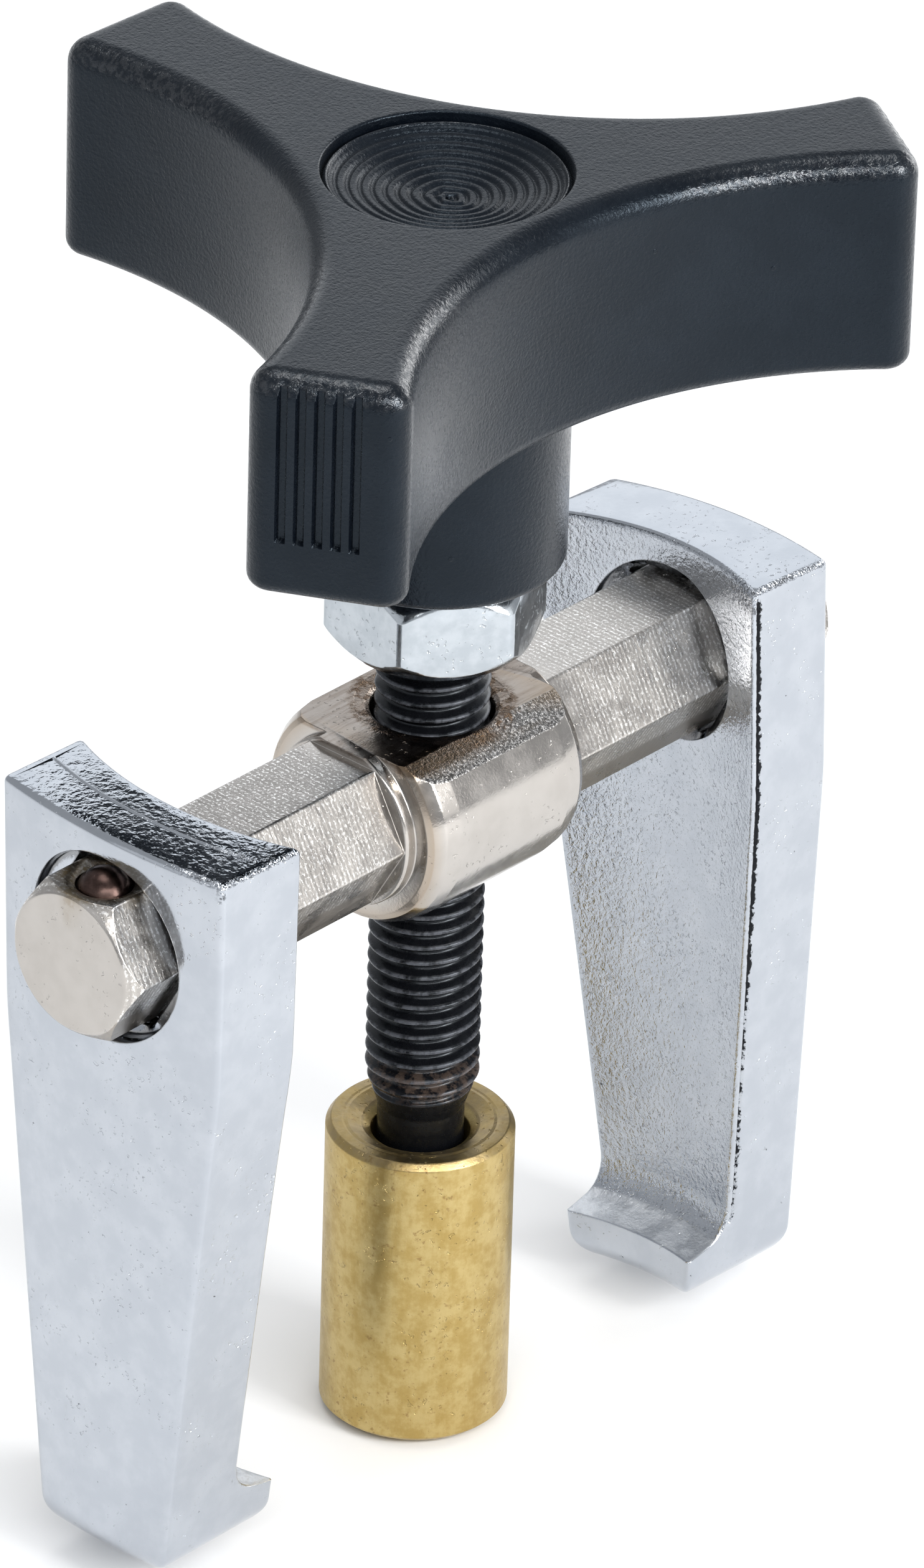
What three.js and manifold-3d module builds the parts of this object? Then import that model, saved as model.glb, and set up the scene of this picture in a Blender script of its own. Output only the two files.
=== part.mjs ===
// Two-jaw sliding-arm puller with a star knob.
// Millimetres, +Z up. The origin is the centre of the pressure sleeve's lower face, and the spindle
// stands on +Z. The cross-bar runs along X, and one hooked jaw hangs from it on each side.

import * as THREE from 'three';
import { mergeVertices } from 'three/addons/utils/BufferGeometryUtils.js';
import Module from 'manifold-3d';

const wasm = await Module();
wasm.setup();

// ---------------------------------------------------------------- driving dimensions

const GAP = 0.3; // clearance between pieces that touch

// spindle: M10 x 1.5, right-hand
const THREAD_RADIUS = 5;
const THREAD_ROOT_RADIUS = 4.08;
const THREAD_PITCH = 1.5;
const THREAD_SIDES = 12;
const THREAD_BOTTOM = 33.3;
const NECK_RADIUS = 3.8;
const NECK_SHOULDER = 30.2;
const TIP_HEIGHT = 2; // the domed end that presses on the sleeve's floor

// pressure sleeve
const SLEEVE_RADIUS = 8.3;
const SLEEVE_HEIGHT = 28.4;
const SLEEVE_FLOOR = 3.6;
const SLEEVE_BORE_RADIUS = 4.3;
const SLEEVE_MOUTH_RADIUS = 6.3;
const RING_HEIGHT = 9;
const RING_WIRE_RADIUS = 0.5;
const RING_CENTRE_RADIUS = 4.1;

// cross-bar
const BAR_Z = 62.8;
const BAR_ACROSS_FLATS = 13;
const BAR_HALF_LENGTH = 44.7;
const BAR_END_RADIUS = 6.4;
const BARREL_RADIUS = 10.35;
const BARREL_END_RADIUS = 9;
const BARREL_HALF_LENGTH = 9.75;
const BARREL_ROUND_LENGTH = 2.4;
const BARREL_CENTRE_X = -0.45; // the barrel sits a little to the left of the spindle
const BARREL_FLAT_HEIGHT = 7.2;
const BARREL_BEVEL_Y = -5.9; // a ground bevel along the front edge of the flat
const BARREL_BEVEL_SLOPE = THREE.MathUtils.degToRad(28);
const COLLAR_RADIUS = 7.7;
const COLLAR_LENGTH = 1.2;
const BAR_BORE_RADIUS = 5.4;

// spring-loaded balls that stop the jaws
const BALL_RADIUS = 2.5;
const BALL_X = 40.5;
const BALL_PROUD = 1;
const BALL_HOLE_RADIUS = 2.7;
const BALL_HOLE_FLOOR = -3.4;
const SPRING_WIRE_RADIUS = 0.25;
const SPRING_TURNS = 5;

// jaws, about the centre of the hexagon hole; x points away from the spindle
const JAW_INNER_X = -4;
const JAW_INNER_RADIUS = 31.2;
const JAW_OUTER_X = 4.3;
const JAW_OUTER_RADIUS = 62;
const JAW_TOP = 10.5;
const JAW_CROWN = 0.4;
const JAW_TOP_HALF_WIDTH = 12.75;
const JAW_SHOULDER_Z = -11.5;
const JAW_SHOULDER_HALF_WIDTH = 12.4;
const JAW_SHOULDER_BLEND = 3;
const JAW_BOTTOM_Z = -60.6;
const JAW_BOTTOM_HALF_WIDTH = 6.55;
const JAW_FOOT_ROUND = 2.6;
const JAW_HEEL_ROUND = 3.2;
const LIP_X = -8.8;
const LIP_TOP_Z = -56;
const LIP_ROOT_Z = -54.9;
const LIP_FILLET = 3.4;
const LIP_NOSE_ROUND = 2.3;
const JAW_BLANK_REACH = 20; // how far the jaw's cutting shapes run past it
const JAW_HOLE_ACROSS_FLATS = 14;
const JAW_COUNTERBORE_RADIUS = 8.4;
const JAW_COUNTERBORE_DEPTH = 1.9;
const JAW_RECESS_RADIUS = 8.6; // the countersink on the inner side
const JAW_RECESS_DEPTH = 1.3;
const JAW_LEFT_X = -36.6;
const JAW_LEFT_TILT = THREE.MathUtils.degToRad(-0.6);
const JAW_RIGHT_X = 34.6;
const JAW_RIGHT_TILT = THREE.MathUtils.degToRad(-3.9);
const JAW_RIGHT_LEAN = THREE.MathUtils.degToRad(0.8);
const JAW_RIGHT_TURN = THREE.MathUtils.degToRad(-1);

// lock nut
const NUT_ACROSS_FLATS = 17;
const NUT_BOTTOM = 76.4;
const NUT_HEIGHT = 8.3;
const NUT_FACE_RADIUS = 7.8;
const NUT_TURN = THREE.MathUtils.degToRad(24.5);

// star knob
const HUB_RADIUS = 11.1;
const HUB_BOTTOM = 84.8;
const ARM_BOTTOM = 100.75;
const ARM_TOP = 121.15;
const ARM_REACH = 39.8;
const ARM_HALF_WIDTH = 7.45;
const ARM_WAIST = 13.5;
const ARM_ROUND = 1.8;
const ARM_CORNER = 2.2;
const KNOB_TURN = THREE.MathUtils.degToRad(88);
const GRIP_GROOVES = 5;
const GRIP_PITCH = 1.68;
const GRIP_OFFSET = -0.45;
const GRIP_WIDTH = 0.75;
const GRIP_DEPTH = 0.5;
const GRIP_LOW = 105.9;
const GRIP_HIGH = 121;
const CAP_RADIUS = 10.5;
const CAP_RECESS = 0.85;
const CAP_DISH = 1.7;
const CAP_BOTTOM = 117.65;
const CAP_RIDGES = 9;
const CAP_RIDGE_HEIGHT = 0.35;
const INSERT_RADIUS = 7.5;
const INSERT_LENGTH = 18;
const INSERT_GROOVE_WIDTH = 4;
const INSERT_GROOVE_DEPTH = 0.8;

// ---------------------------------------------------------------- solids

// A closed geometry as a solid: shared corners merged, zero-area triangles left out.
function toSolid(geometry) {
  const bare = geometry.clone();
  bare.deleteAttribute('normal');
  bare.deleteAttribute('uv');
  const merged = mergeVertices(bare, 1e-4);
  const index = merged.index.array;
  const corners = [];
  for (let i = 0; i < index.length; i += 3) {
    const [a, b, c] = [index[i], index[i + 1], index[i + 2]];
    if (a !== b && b !== c && c !== a) corners.push(a, b, c);
  }
  return new wasm.Manifold(new wasm.Mesh({
    numProp: 3,
    vertProperties: new Float32Array(merged.attributes.position.array),
    triVerts: new Uint32Array(corners),
  }));
}

function toGeometry(solid) {
  const mesh = solid.getMesh();
  const geometry = new THREE.BufferGeometry();
  geometry.setAttribute('position', new THREE.BufferAttribute(new Float32Array(mesh.vertProperties), 3));
  geometry.setIndex(new THREE.BufferAttribute(new Uint32Array(mesh.triVerts), 1));
  geometry.computeVertexNormals();
  return geometry;
}

// A [radius, height] profile, listed upwards, turned about Z.
function turned(profile, segments, start = 0) {
  const points = profile.map(([radius, height]) => new THREE.Vector2(radius, height));
  return new THREE.LatheGeometry(points, segments, start).rotateX(Math.PI / 2);
}

function cylinder(radius, bottom, top, segments) {
  return turned([[0, bottom], [radius, bottom], [radius, top], [0, top]], segments);
}

// The same shapes with their axis on X instead of Z.
function alongX(geometry) {
  return geometry.rotateY(Math.PI / 2);
}

function box(x0, x1, y0, y1, z0, z1) {
  const geometry = new THREE.BoxGeometry(x1 - x0, y1 - y0, z1 - z0);
  return geometry.translate((x0 + x1) / 2, (y0 + y1) / 2, (z0 + z1) / 2);
}

// A hexagon prism about Z, with corners at turn + 60 degree steps.
function hexPrism(acrossFlats, bottom, top, turn = 0) {
  const shape = new THREE.Shape();
  const cornerRadius = acrossFlats / Math.sqrt(3);
  for (let i = 0; i < 6; i += 1) {
    const angle = turn + (i * Math.PI) / 3;
    const point = [cornerRadius * Math.cos(angle), cornerRadius * Math.sin(angle)];
    if (i === 0) shape.moveTo(...point);
    else shape.lineTo(...point);
  }
  shape.closePath();
  const geometry = new THREE.ExtrudeGeometry(shape, { depth: top - bottom, bevelEnabled: false });
  return geometry.translate(0, 0, bottom);
}

// Points on an arc about (cx, cz), in degrees.
function arc(cx, cz, radius, from, to, steps) {
  const points = [];
  for (let i = 0; i <= steps; i += 1) {
    const angle = THREE.MathUtils.degToRad(from + ((to - from) * i) / steps);
    points.push([cx + radius * Math.cos(angle), cz + radius * Math.sin(angle)]);
  }
  return points;
}

// ---------------------------------------------------------------- spindle and what is on it

// A rod with a V thread. Crest and root points climb one pitch for each turn, and a fan shuts each end.
function threadedRod(bottom, top) {
  const strips = 2 * Math.ceil((top - bottom) / THREAD_PITCH);
  const positions = [];
  for (let i = 0; i <= strips + 2; i += 1) {
    const radius = i % 2 ? THREAD_RADIUS : THREAD_ROOT_RADIUS;
    for (let j = 0; j < THREAD_SIDES; j += 1) {
      const angle = (2 * Math.PI * j) / THREAD_SIDES;
      const height = bottom + THREAD_PITCH * (i / 2 + j / THREAD_SIDES);
      positions.push(radius * Math.cos(angle), radius * Math.sin(angle), height);
    }
  }
  const at = (i, j) => (j === THREAD_SIDES ? (i + 2) * THREAD_SIDES : i * THREAD_SIDES + j);
  const index = [];
  for (let i = 0; i < strips; i += 1) {
    for (let j = 0; j < THREAD_SIDES; j += 1) {
      index.push(at(i, j), at(i, j + 1), at(i + 1, j + 1));
      index.push(at(i, j), at(i + 1, j + 1), at(i + 1, j));
    }
  }
  const lowCentre = positions.length / 3;
  positions.push(0, 0, bottom);
  const highCentre = lowCentre + 1;
  positions.push(0, 0, bottom + THREAD_PITCH * (strips / 2 + 1));
  for (let j = 0; j < THREAD_SIDES; j += 1) {
    index.push(lowCentre, at(0, j + 1), at(0, j));
    index.push(highCentre, at(strips, j), at(strips, j + 1));
  }
  index.push(lowCentre, at(1, 0), at(2, 0), lowCentre, at(0, 0), at(1, 0));
  index.push(highCentre, at(strips + 2, 0), at(strips + 1, 0));
  index.push(highCentre, at(strips + 1, 0), at(strips, 0));
  const geometry = new THREE.BufferGeometry();
  geometry.setAttribute('position', new THREE.Float32BufferAttribute(positions, 3));
  geometry.setIndex(index);
  return geometry;
}

function spindleGeometry() {
  const top = HUB_BOTTOM + INSERT_LENGTH - 1;
  const tip = SLEEVE_FLOOR + GAP;
  const envelope = toSolid(turned([
    [0, NECK_SHOULDER],
    [NECK_RADIUS, NECK_SHOULDER],
    [THREAD_RADIUS - 0.3, THREAD_BOTTOM - 0.6],
    [THREAD_RADIUS + 0.1, THREAD_BOTTOM],
    [THREAD_RADIUS + 0.1, top - 0.9],
    [THREAD_ROOT_RADIUS, top],
    [0, top],
  ], 32));
  const thread = toSolid(threadedRod(NECK_SHOULDER - 3 * THREAD_PITCH, top + 3 * THREAD_PITCH));
  const cone = toSolid(turned([
    [0, NECK_SHOULDER - 0.5],
    [NECK_RADIUS, NECK_SHOULDER - 0.5],
    [NECK_RADIUS, NECK_SHOULDER],
    [THREAD_ROOT_RADIUS, NECK_SHOULDER + 0.8],
    [THREAD_RADIUS - 0.35, THREAD_BOTTOM - 0.7],
    [0, THREAD_BOTTOM - 0.7],
  ], 32));
  const groove = RING_WIRE_RADIUS + 0.2;
  const neck = toSolid(turned([
    [0, tip],
    [1.4, tip + 0.1],
    [2.8, tip + 0.7],
    [NECK_RADIUS, tip + TIP_HEIGHT],
    [NECK_RADIUS, RING_HEIGHT - groove],
    [RING_CENTRE_RADIUS - groove, RING_HEIGHT - groove],
    [RING_CENTRE_RADIUS - groove, RING_HEIGHT + groove],
    [NECK_RADIUS, RING_HEIGHT + groove],
    [NECK_RADIUS, NECK_SHOULDER],
    [0, NECK_SHOULDER],
  ], 32));
  return toGeometry(thread.intersect(envelope).add(cone).add(neck));
}

function sleeveGeometry() {
  const groove = RING_WIRE_RADIUS + 0.2;
  return turned([
    [0, 0],
    [SLEEVE_RADIUS - 0.4, 0],
    [SLEEVE_RADIUS, 0.4],
    [SLEEVE_RADIUS, SLEEVE_HEIGHT - 0.6],
    [SLEEVE_RADIUS - 0.6, SLEEVE_HEIGHT],
    [SLEEVE_MOUTH_RADIUS, SLEEVE_HEIGHT],
    [SLEEVE_BORE_RADIUS, SLEEVE_HEIGHT - 0.95],
    [SLEEVE_BORE_RADIUS, RING_HEIGHT + groove],
    [RING_CENTRE_RADIUS + groove, RING_HEIGHT + groove],
    [RING_CENTRE_RADIUS + groove, RING_HEIGHT - groove],
    [SLEEVE_BORE_RADIUS, RING_HEIGHT - groove],
    [SLEEVE_BORE_RADIUS, SLEEVE_FLOOR],
    [0, SLEEVE_FLOOR],
  ], 48);
}

// A ring of round wire, open over a sixth of its length.
function snapRingGeometry() {
  const path = new THREE.CatmullRomCurve3(
    arc(0, 0, RING_CENTRE_RADIUS, 30, 330, 20).map(([x, y]) => new THREE.Vector3(x, y, 0)),
  );
  const wire = new THREE.Shape().absarc(0, 0, RING_WIRE_RADIUS, 0, 2 * Math.PI);
  const options = { extrudePath: path, steps: 20, curveSegments: 4, bevelEnabled: false };
  return new THREE.ExtrudeGeometry(wire, options).translate(0, 0, RING_HEIGHT);
}

function lockNutGeometry() {
  const top = NUT_BOTTOM + NUT_HEIGHT;
  const cornerRadius = NUT_ACROSS_FLATS / Math.sqrt(3);
  const chamfer = cornerRadius - NUT_FACE_RADIUS;
  const blank = toSolid(hexPrism(NUT_ACROSS_FLATS, NUT_BOTTOM, top, NUT_TURN));
  const chamfers = toSolid(turned([
    [0, NUT_BOTTOM],
    [NUT_FACE_RADIUS, NUT_BOTTOM],
    [cornerRadius, NUT_BOTTOM + chamfer],
    [cornerRadius + 1, NUT_BOTTOM + chamfer],
    [cornerRadius + 1, top - chamfer],
    [cornerRadius, top - chamfer],
    [NUT_FACE_RADIUS, top],
    [0, top],
  ], 48));
  const bore = toSolid(turned([
    [0, NUT_BOTTOM - 1],
    [THREAD_RADIUS + 1.9, NUT_BOTTOM - 1],
    [THREAD_RADIUS + GAP, NUT_BOTTOM + 0.6],
    [THREAD_RADIUS + GAP, top - 0.6],
    [THREAD_RADIUS + 1.9, top + 1],
    [0, top + 1],
  ], 32));
  return toGeometry(blank.intersect(chamfers).subtract(bore));
}

// ---------------------------------------------------------------- cross-bar and its balls

function crossBarGeometry() {
  const reach = BAR_HALF_LENGTH;
  const rise = BARREL_RADIUS - BARREL_END_RADIUS;
  const roundedEnd = arc(0, 0, 1, 0, 90, 4).map(([along, out]) => [
    BARREL_END_RADIUS + rise * out,
    BARREL_HALF_LENGTH - BARREL_ROUND_LENGTH * (1 - along),
  ]);
  const hex = toSolid(alongX(hexPrism(BAR_ACROSS_FLATS, -reach, reach, Math.PI / 2)));
  const cornerRadius = BAR_ACROSS_FLATS / Math.sqrt(3) + 0.3;
  const endChamfer = cornerRadius - BAR_END_RADIUS;
  const ends = toSolid(alongX(turned([
    [0, -reach],
    [BAR_END_RADIUS, -reach],
    [cornerRadius, -reach + endChamfer],
    [cornerRadius, reach - endChamfer],
    [BAR_END_RADIUS, reach],
    [0, reach],
  ], 48)));
  const half = [
    [0, BARREL_HALF_LENGTH + COLLAR_LENGTH],
    [COLLAR_RADIUS - 0.3, BARREL_HALF_LENGTH + COLLAR_LENGTH],
    [COLLAR_RADIUS, BARREL_HALF_LENGTH + COLLAR_LENGTH - 0.3],
    [COLLAR_RADIUS, BARREL_HALF_LENGTH + 0.3],
    [COLLAR_RADIUS + 0.3, BARREL_HALF_LENGTH],
    ...roundedEnd,
  ];
  const lower = half.map(([radius, x]) => [radius, -x]);
  const barrel = toSolid(alongX(turned([...lower, ...half.reverse()], 64)).translate(BARREL_CENTRE_X, 0, 0));
  const flat = toSolid(box(-20, 20, -15, 15, BARREL_FLAT_HEIGHT, 20));
  const bevel = toSolid(
    box(-20, 20, -10, 10, 0, 10)
      .rotateX(BARREL_BEVEL_SLOPE)
      .translate(0, BARREL_BEVEL_Y, BARREL_FLAT_HEIGHT),
  );
  const bore = toSolid(turned([
    [0, -15],
    [BAR_BORE_RADIUS, -15],
    [BAR_BORE_RADIUS, BARREL_FLAT_HEIGHT - 1.2],
    [BAR_BORE_RADIUS + 1.8, BARREL_FLAT_HEIGHT + 0.3],
    [0, BARREL_FLAT_HEIGHT + 0.3],
  ], 40));
  let bar = hex.intersect(ends).add(barrel.subtract(flat).subtract(bevel)).subtract(bore);
  for (const side of [-1, 1]) {
    const hole = cylinder(BALL_HOLE_RADIUS, BALL_HOLE_FLOOR, 10, 24).translate(side * BALL_X, 0, 0);
    bar = bar.subtract(toSolid(hole));
  }
  return toGeometry(bar);
}

const ballHeight = BAR_ACROSS_FLATS / 2 + BALL_PROUD - BALL_RADIUS;

function ballGeometry() {
  return turned(arc(0, 0, BALL_RADIUS, -90, 90, 8), 16);
}

function springGeometry() {
  const foot = BALL_HOLE_FLOOR + SPRING_WIRE_RADIUS + 0.05;
  const head = ballHeight - BALL_RADIUS - SPRING_WIRE_RADIUS - 0.05;
  const coilRadius = BALL_HOLE_RADIUS - SPRING_WIRE_RADIUS - 0.25;
  const points = [];
  const steps = SPRING_TURNS * 8;
  for (let i = 0; i <= steps; i += 1) {
    const angle = (2 * Math.PI * SPRING_TURNS * i) / steps;
    const height = foot + ((head - foot) * i) / steps;
    points.push(new THREE.Vector3(coilRadius * Math.cos(angle), coilRadius * Math.sin(angle), height));
  }
  const wire = new THREE.Shape().absarc(0, 0, SPRING_WIRE_RADIUS, 0, 2 * Math.PI);
  return new THREE.ExtrudeGeometry(wire, {
    extrudePath: new THREE.CatmullRomCurve3(points),
    steps,
    curveSegments: 3,
    bevelEnabled: false,
  });
}

// ---------------------------------------------------------------- jaws

// The side profile is turned about an axis beyond the spindle, so that the inner face, the hook's
// fillet, its shelf and its nose are all arcs in plan.
function jawRing() {
  const radius = (x) => JAW_INNER_RADIUS + x - JAW_INNER_X;
  const inner = radius(JAW_INNER_X);
  const nose = radius(LIP_X);
  const slope = Math.atan2(LIP_ROOT_Z - LIP_TOP_Z, inner - nose);
  const reach = LIP_FILLET * Math.tan(Math.PI / 4 - slope / 2);
  const filletX = inner - LIP_FILLET;
  const filletZ = LIP_ROOT_Z + reach;
  const profile = [
    ...arc(nose + LIP_NOSE_ROUND, JAW_BOTTOM_Z + LIP_NOSE_ROUND, LIP_NOSE_ROUND, -180, -90, 4).reverse(),
    [nose, LIP_TOP_Z],
    ...arc(filletX, filletZ, LIP_FILLET, THREE.MathUtils.radToDeg(slope) - 90, 0, 6),
    [inner, JAW_BLANK_REACH],
    [radius(JAW_OUTER_X) + 6, JAW_BLANK_REACH],
    [radius(JAW_OUTER_X) + 6, JAW_BOTTOM_Z],
  ];
  const closed = [...profile, profile[0]].reverse();
  const segments = 72;
  const ring = turned(closed, segments, Math.PI / segments);
  return toSolid(ring.translate(JAW_INNER_X - JAW_INNER_RADIUS, 0, 0));
}

// The outline seen along the bar: a broad head that tapers down to the hook.
function jawOutline() {
  const top = JAW_TOP_HALF_WIDTH;
  const shoulder = JAW_SHOULDER_HALF_WIDTH;
  const foot = JAW_BOTTOM_HALF_WIDTH;
  const taper = (shoulder - foot) / (JAW_SHOULDER_Z - JAW_BOTTOM_Z);
  const waist = shoulder - taper * JAW_SHOULDER_BLEND;
  const ankle = foot + taper * JAW_FOOT_ROUND;
  const sole = foot - JAW_FOOT_ROUND;
  const shape = new THREE.Shape();
  shape.moveTo(-top, JAW_TOP);
  shape.lineTo(-shoulder, JAW_SHOULDER_Z + JAW_SHOULDER_BLEND);
  shape.quadraticCurveTo(-shoulder, JAW_SHOULDER_Z, -waist, JAW_SHOULDER_Z - JAW_SHOULDER_BLEND);
  shape.lineTo(-ankle, JAW_BOTTOM_Z + JAW_FOOT_ROUND);
  shape.quadraticCurveTo(-foot, JAW_BOTTOM_Z, -sole, JAW_BOTTOM_Z);
  shape.lineTo(sole, JAW_BOTTOM_Z);
  shape.quadraticCurveTo(foot, JAW_BOTTOM_Z, ankle, JAW_BOTTOM_Z + JAW_FOOT_ROUND);
  shape.lineTo(waist, JAW_SHOULDER_Z - JAW_SHOULDER_BLEND);
  shape.quadraticCurveTo(shoulder, JAW_SHOULDER_Z, shoulder, JAW_SHOULDER_Z + JAW_SHOULDER_BLEND);
  shape.lineTo(top, JAW_TOP);
  shape.quadraticCurveTo(0, JAW_TOP + 2 * JAW_CROWN, -top, JAW_TOP);
  const depth = 2 * JAW_BLANK_REACH;
  const geometry = new THREE.ExtrudeGeometry(shape, { depth, curveSegments: 5, bevelEnabled: false });
  return toSolid(geometry.rotateX(Math.PI / 2).rotateZ(Math.PI / 2).translate(-JAW_BLANK_REACH, 0, 0));
}

// Everything inside the outer face, whose lower edge is rounded off.
function jawOuterLimit() {
  const profile = [
    [0, JAW_BOTTOM_Z - 1],
    [JAW_OUTER_RADIUS - JAW_HEEL_ROUND, JAW_BOTTOM_Z - 1],
    ...arc(JAW_OUTER_RADIUS - JAW_HEEL_ROUND, JAW_BOTTOM_Z + JAW_HEEL_ROUND, JAW_HEEL_ROUND, -90, 0, 5),
    [JAW_OUTER_RADIUS, JAW_BLANK_REACH],
    [0, JAW_BLANK_REACH],
  ];
  const drum = turned(profile, 180, Math.PI / 180);
  return toSolid(drum.translate(JAW_OUTER_X - JAW_OUTER_RADIUS, 0, 0));
}

function jawGeometry() {
  const reach = JAW_BLANK_REACH;
  const hole = toSolid(alongX(hexPrism(JAW_HOLE_ACROSS_FLATS, -reach, reach, Math.PI / 2)));
  const recess = toSolid(alongX(turned([
    [0, -reach],
    [JAW_RECESS_RADIUS, -reach],
    [JAW_RECESS_RADIUS, JAW_INNER_X + 0.1],
    [JAW_HOLE_ACROSS_FLATS / 2, JAW_INNER_X + JAW_RECESS_DEPTH],
    [0, JAW_INNER_X + JAW_RECESS_DEPTH],
  ], 40)));
  const counterbore = toSolid(
    alongX(cylinder(JAW_COUNTERBORE_RADIUS, JAW_OUTER_X - JAW_COUNTERBORE_DEPTH, reach, 40)),
  );
  const blank = jawRing().intersect(jawOutline()).intersect(jawOuterLimit());
  return toGeometry(blank.subtract(hole).subtract(recess).subtract(counterbore));
}

// ---------------------------------------------------------------- knob

// Three arms joined by hollow arcs. Each arc passes the axis at the waist radius and would meet the
// arms' end faces at the half width, and a small round blends it into them.
function knobOutline() {
  const tip = Math.hypot(ARM_REACH, ARM_HALF_WIDTH);
  const half = Math.PI / 3 - Math.atan2(ARM_HALF_WIDTH, ARM_REACH);
  const endX = tip * Math.cos(half);
  const endY = tip * Math.sin(half);
  const centre = (endX ** 2 + endY ** 2 - ARM_WAIST ** 2) / (2 * (endX - ARM_WAIST));
  const radius = centre - ARM_WAIST;
  const arcX = centre * Math.cos(Math.PI / 3);
  const arcY = centre * Math.sin(Math.PI / 3);
  const cornerX = ARM_REACH - ARM_CORNER;
  const cornerY = arcY - Math.sqrt((radius + ARM_CORNER) ** 2 - (cornerX - arcX) ** 2);
  const cornerSweep = THREE.MathUtils.radToDeg(Math.atan2(arcY - cornerY, arcX - cornerX));
  const hollow = THREE.MathUtils.radToDeg(Math.atan2(cornerY - arcY, cornerX - arcX));
  const side = [
    ...arc(cornerX, cornerY, ARM_CORNER, 0, cornerSweep, 3),
    ...arc(arcX, arcY, radius, hollow, -120, 7).slice(1),
  ];
  const mirrored = side.map(([x, y]) => [x, -y]).reverse().slice(1);
  const points = [];
  for (let arm = 0; arm < 3; arm += 1) {
    for (const [x, y] of [...mirrored, ...side]) {
      points.push(new THREE.Vector2(x, y).rotateAround(new THREE.Vector2(), (arm * 2 * Math.PI) / 3));
    }
  }
  return new THREE.Shape(points);
}

function knobBodyGeometry() {
  const arms = new THREE.ExtrudeGeometry(knobOutline(), {
    depth: ARM_TOP - ARM_BOTTOM - 2 * ARM_ROUND,
    bevelEnabled: true,
    bevelThickness: ARM_ROUND,
    bevelSize: ARM_ROUND,
    bevelOffset: -ARM_ROUND,
    bevelSegments: 2,
  }).rotateZ(KNOB_TURN).translate(0, 0, ARM_BOTTOM + ARM_ROUND);
  const hub = turned([
    [0, HUB_BOTTOM],
    [HUB_RADIUS - 1, HUB_BOTTOM],
    [HUB_RADIUS - 0.3, HUB_BOTTOM + 0.3],
    [HUB_RADIUS, HUB_BOTTOM + 1],
    [HUB_RADIUS, ARM_BOTTOM + 2],
    [0, ARM_BOTTOM + 2],
  ], 48);
  const bore = turned([
    [0, HUB_BOTTOM - 1],
    [INSERT_RADIUS + GAP, HUB_BOTTOM - 1],
    [INSERT_RADIUS + GAP, HUB_BOTTOM + INSERT_LENGTH + GAP],
    [THREAD_RADIUS + GAP, HUB_BOTTOM + INSERT_LENGTH + GAP],
    [THREAD_RADIUS + GAP, ARM_TOP + 1],
    [0, ARM_TOP + 1],
  ], 32);
  const seat = cylinder(CAP_RADIUS + GAP, CAP_BOTTOM - GAP, ARM_TOP + 1, 48);
  let knob = toSolid(arms).add(toSolid(hub)).subtract(toSolid(bore)).subtract(toSolid(seat));
  for (let arm = 0; arm < 3; arm += 1) {
    for (let i = 0; i < GRIP_GROOVES; i += 1) {
      const y = GRIP_OFFSET + (i - (GRIP_GROOVES - 1) / 2) * GRIP_PITCH;
      const [low, high] = [y - GRIP_WIDTH / 2, y + GRIP_WIDTH / 2];
      const groove = box(ARM_REACH - GRIP_DEPTH, ARM_REACH + 1, low, high, GRIP_LOW, GRIP_HIGH);
      knob = knob.subtract(toSolid(groove.rotateZ(KNOB_TURN + (arm * 2 * Math.PI) / 3)));
    }
  }
  return toGeometry(knob);
}

// A disc set a little below the arms' top. Its face is dished and carries concentric ridges.
function knobCapGeometry() {
  const rim = ARM_TOP - CAP_RECESS;
  const pitch = (CAP_RADIUS - 0.6) / CAP_RIDGES;
  const dish = (radius) => CAP_DISH * (1 - (radius / CAP_RADIUS) ** 2);
  const profile = [[0, CAP_BOTTOM], [CAP_RADIUS, CAP_BOTTOM], [CAP_RADIUS, rim - CAP_RIDGE_HEIGHT]];
  for (let i = CAP_RIDGES; i > 0; i -= 1) {
    const crest = i * pitch;
    const valley = (i - 0.5) * pitch;
    profile.push([crest, rim - dish(crest)]);
    profile.push([valley, rim - dish(valley) - CAP_RIDGE_HEIGHT]);
  }
  profile.push([0, rim - CAP_DISH - CAP_RIDGE_HEIGHT]);
  return turned(profile, 30);
}

function knobInsertGeometry() {
  const top = HUB_BOTTOM + INSERT_LENGTH;
  const middle = HUB_BOTTOM + INSERT_LENGTH / 2;
  return turned([
    [THREAD_RADIUS + GAP, HUB_BOTTOM + 0.1],
    [INSERT_RADIUS, HUB_BOTTOM + 0.1],
    [INSERT_RADIUS, middle - INSERT_GROOVE_WIDTH / 2],
    [INSERT_RADIUS - INSERT_GROOVE_DEPTH, middle - INSERT_GROOVE_WIDTH / 2 + 0.6],
    [INSERT_RADIUS - INSERT_GROOVE_DEPTH, middle + INSERT_GROOVE_WIDTH / 2 - 0.6],
    [INSERT_RADIUS, middle + INSERT_GROOVE_WIDTH / 2],
    [INSERT_RADIUS, top],
    [THREAD_RADIUS + GAP, top],
    [THREAD_RADIUS + GAP, HUB_BOTTOM + 0.1],
  ], 32);
}

// ---------------------------------------------------------------- assembly

function part(name, geometry, color, roughness, metalness) {
  const material = new THREE.MeshStandardMaterial({ color, roughness, metalness });
  const mesh = new THREE.Mesh(geometry, material);
  mesh.name = name;
  return mesh;
}

const puller = new THREE.Group();

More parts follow.
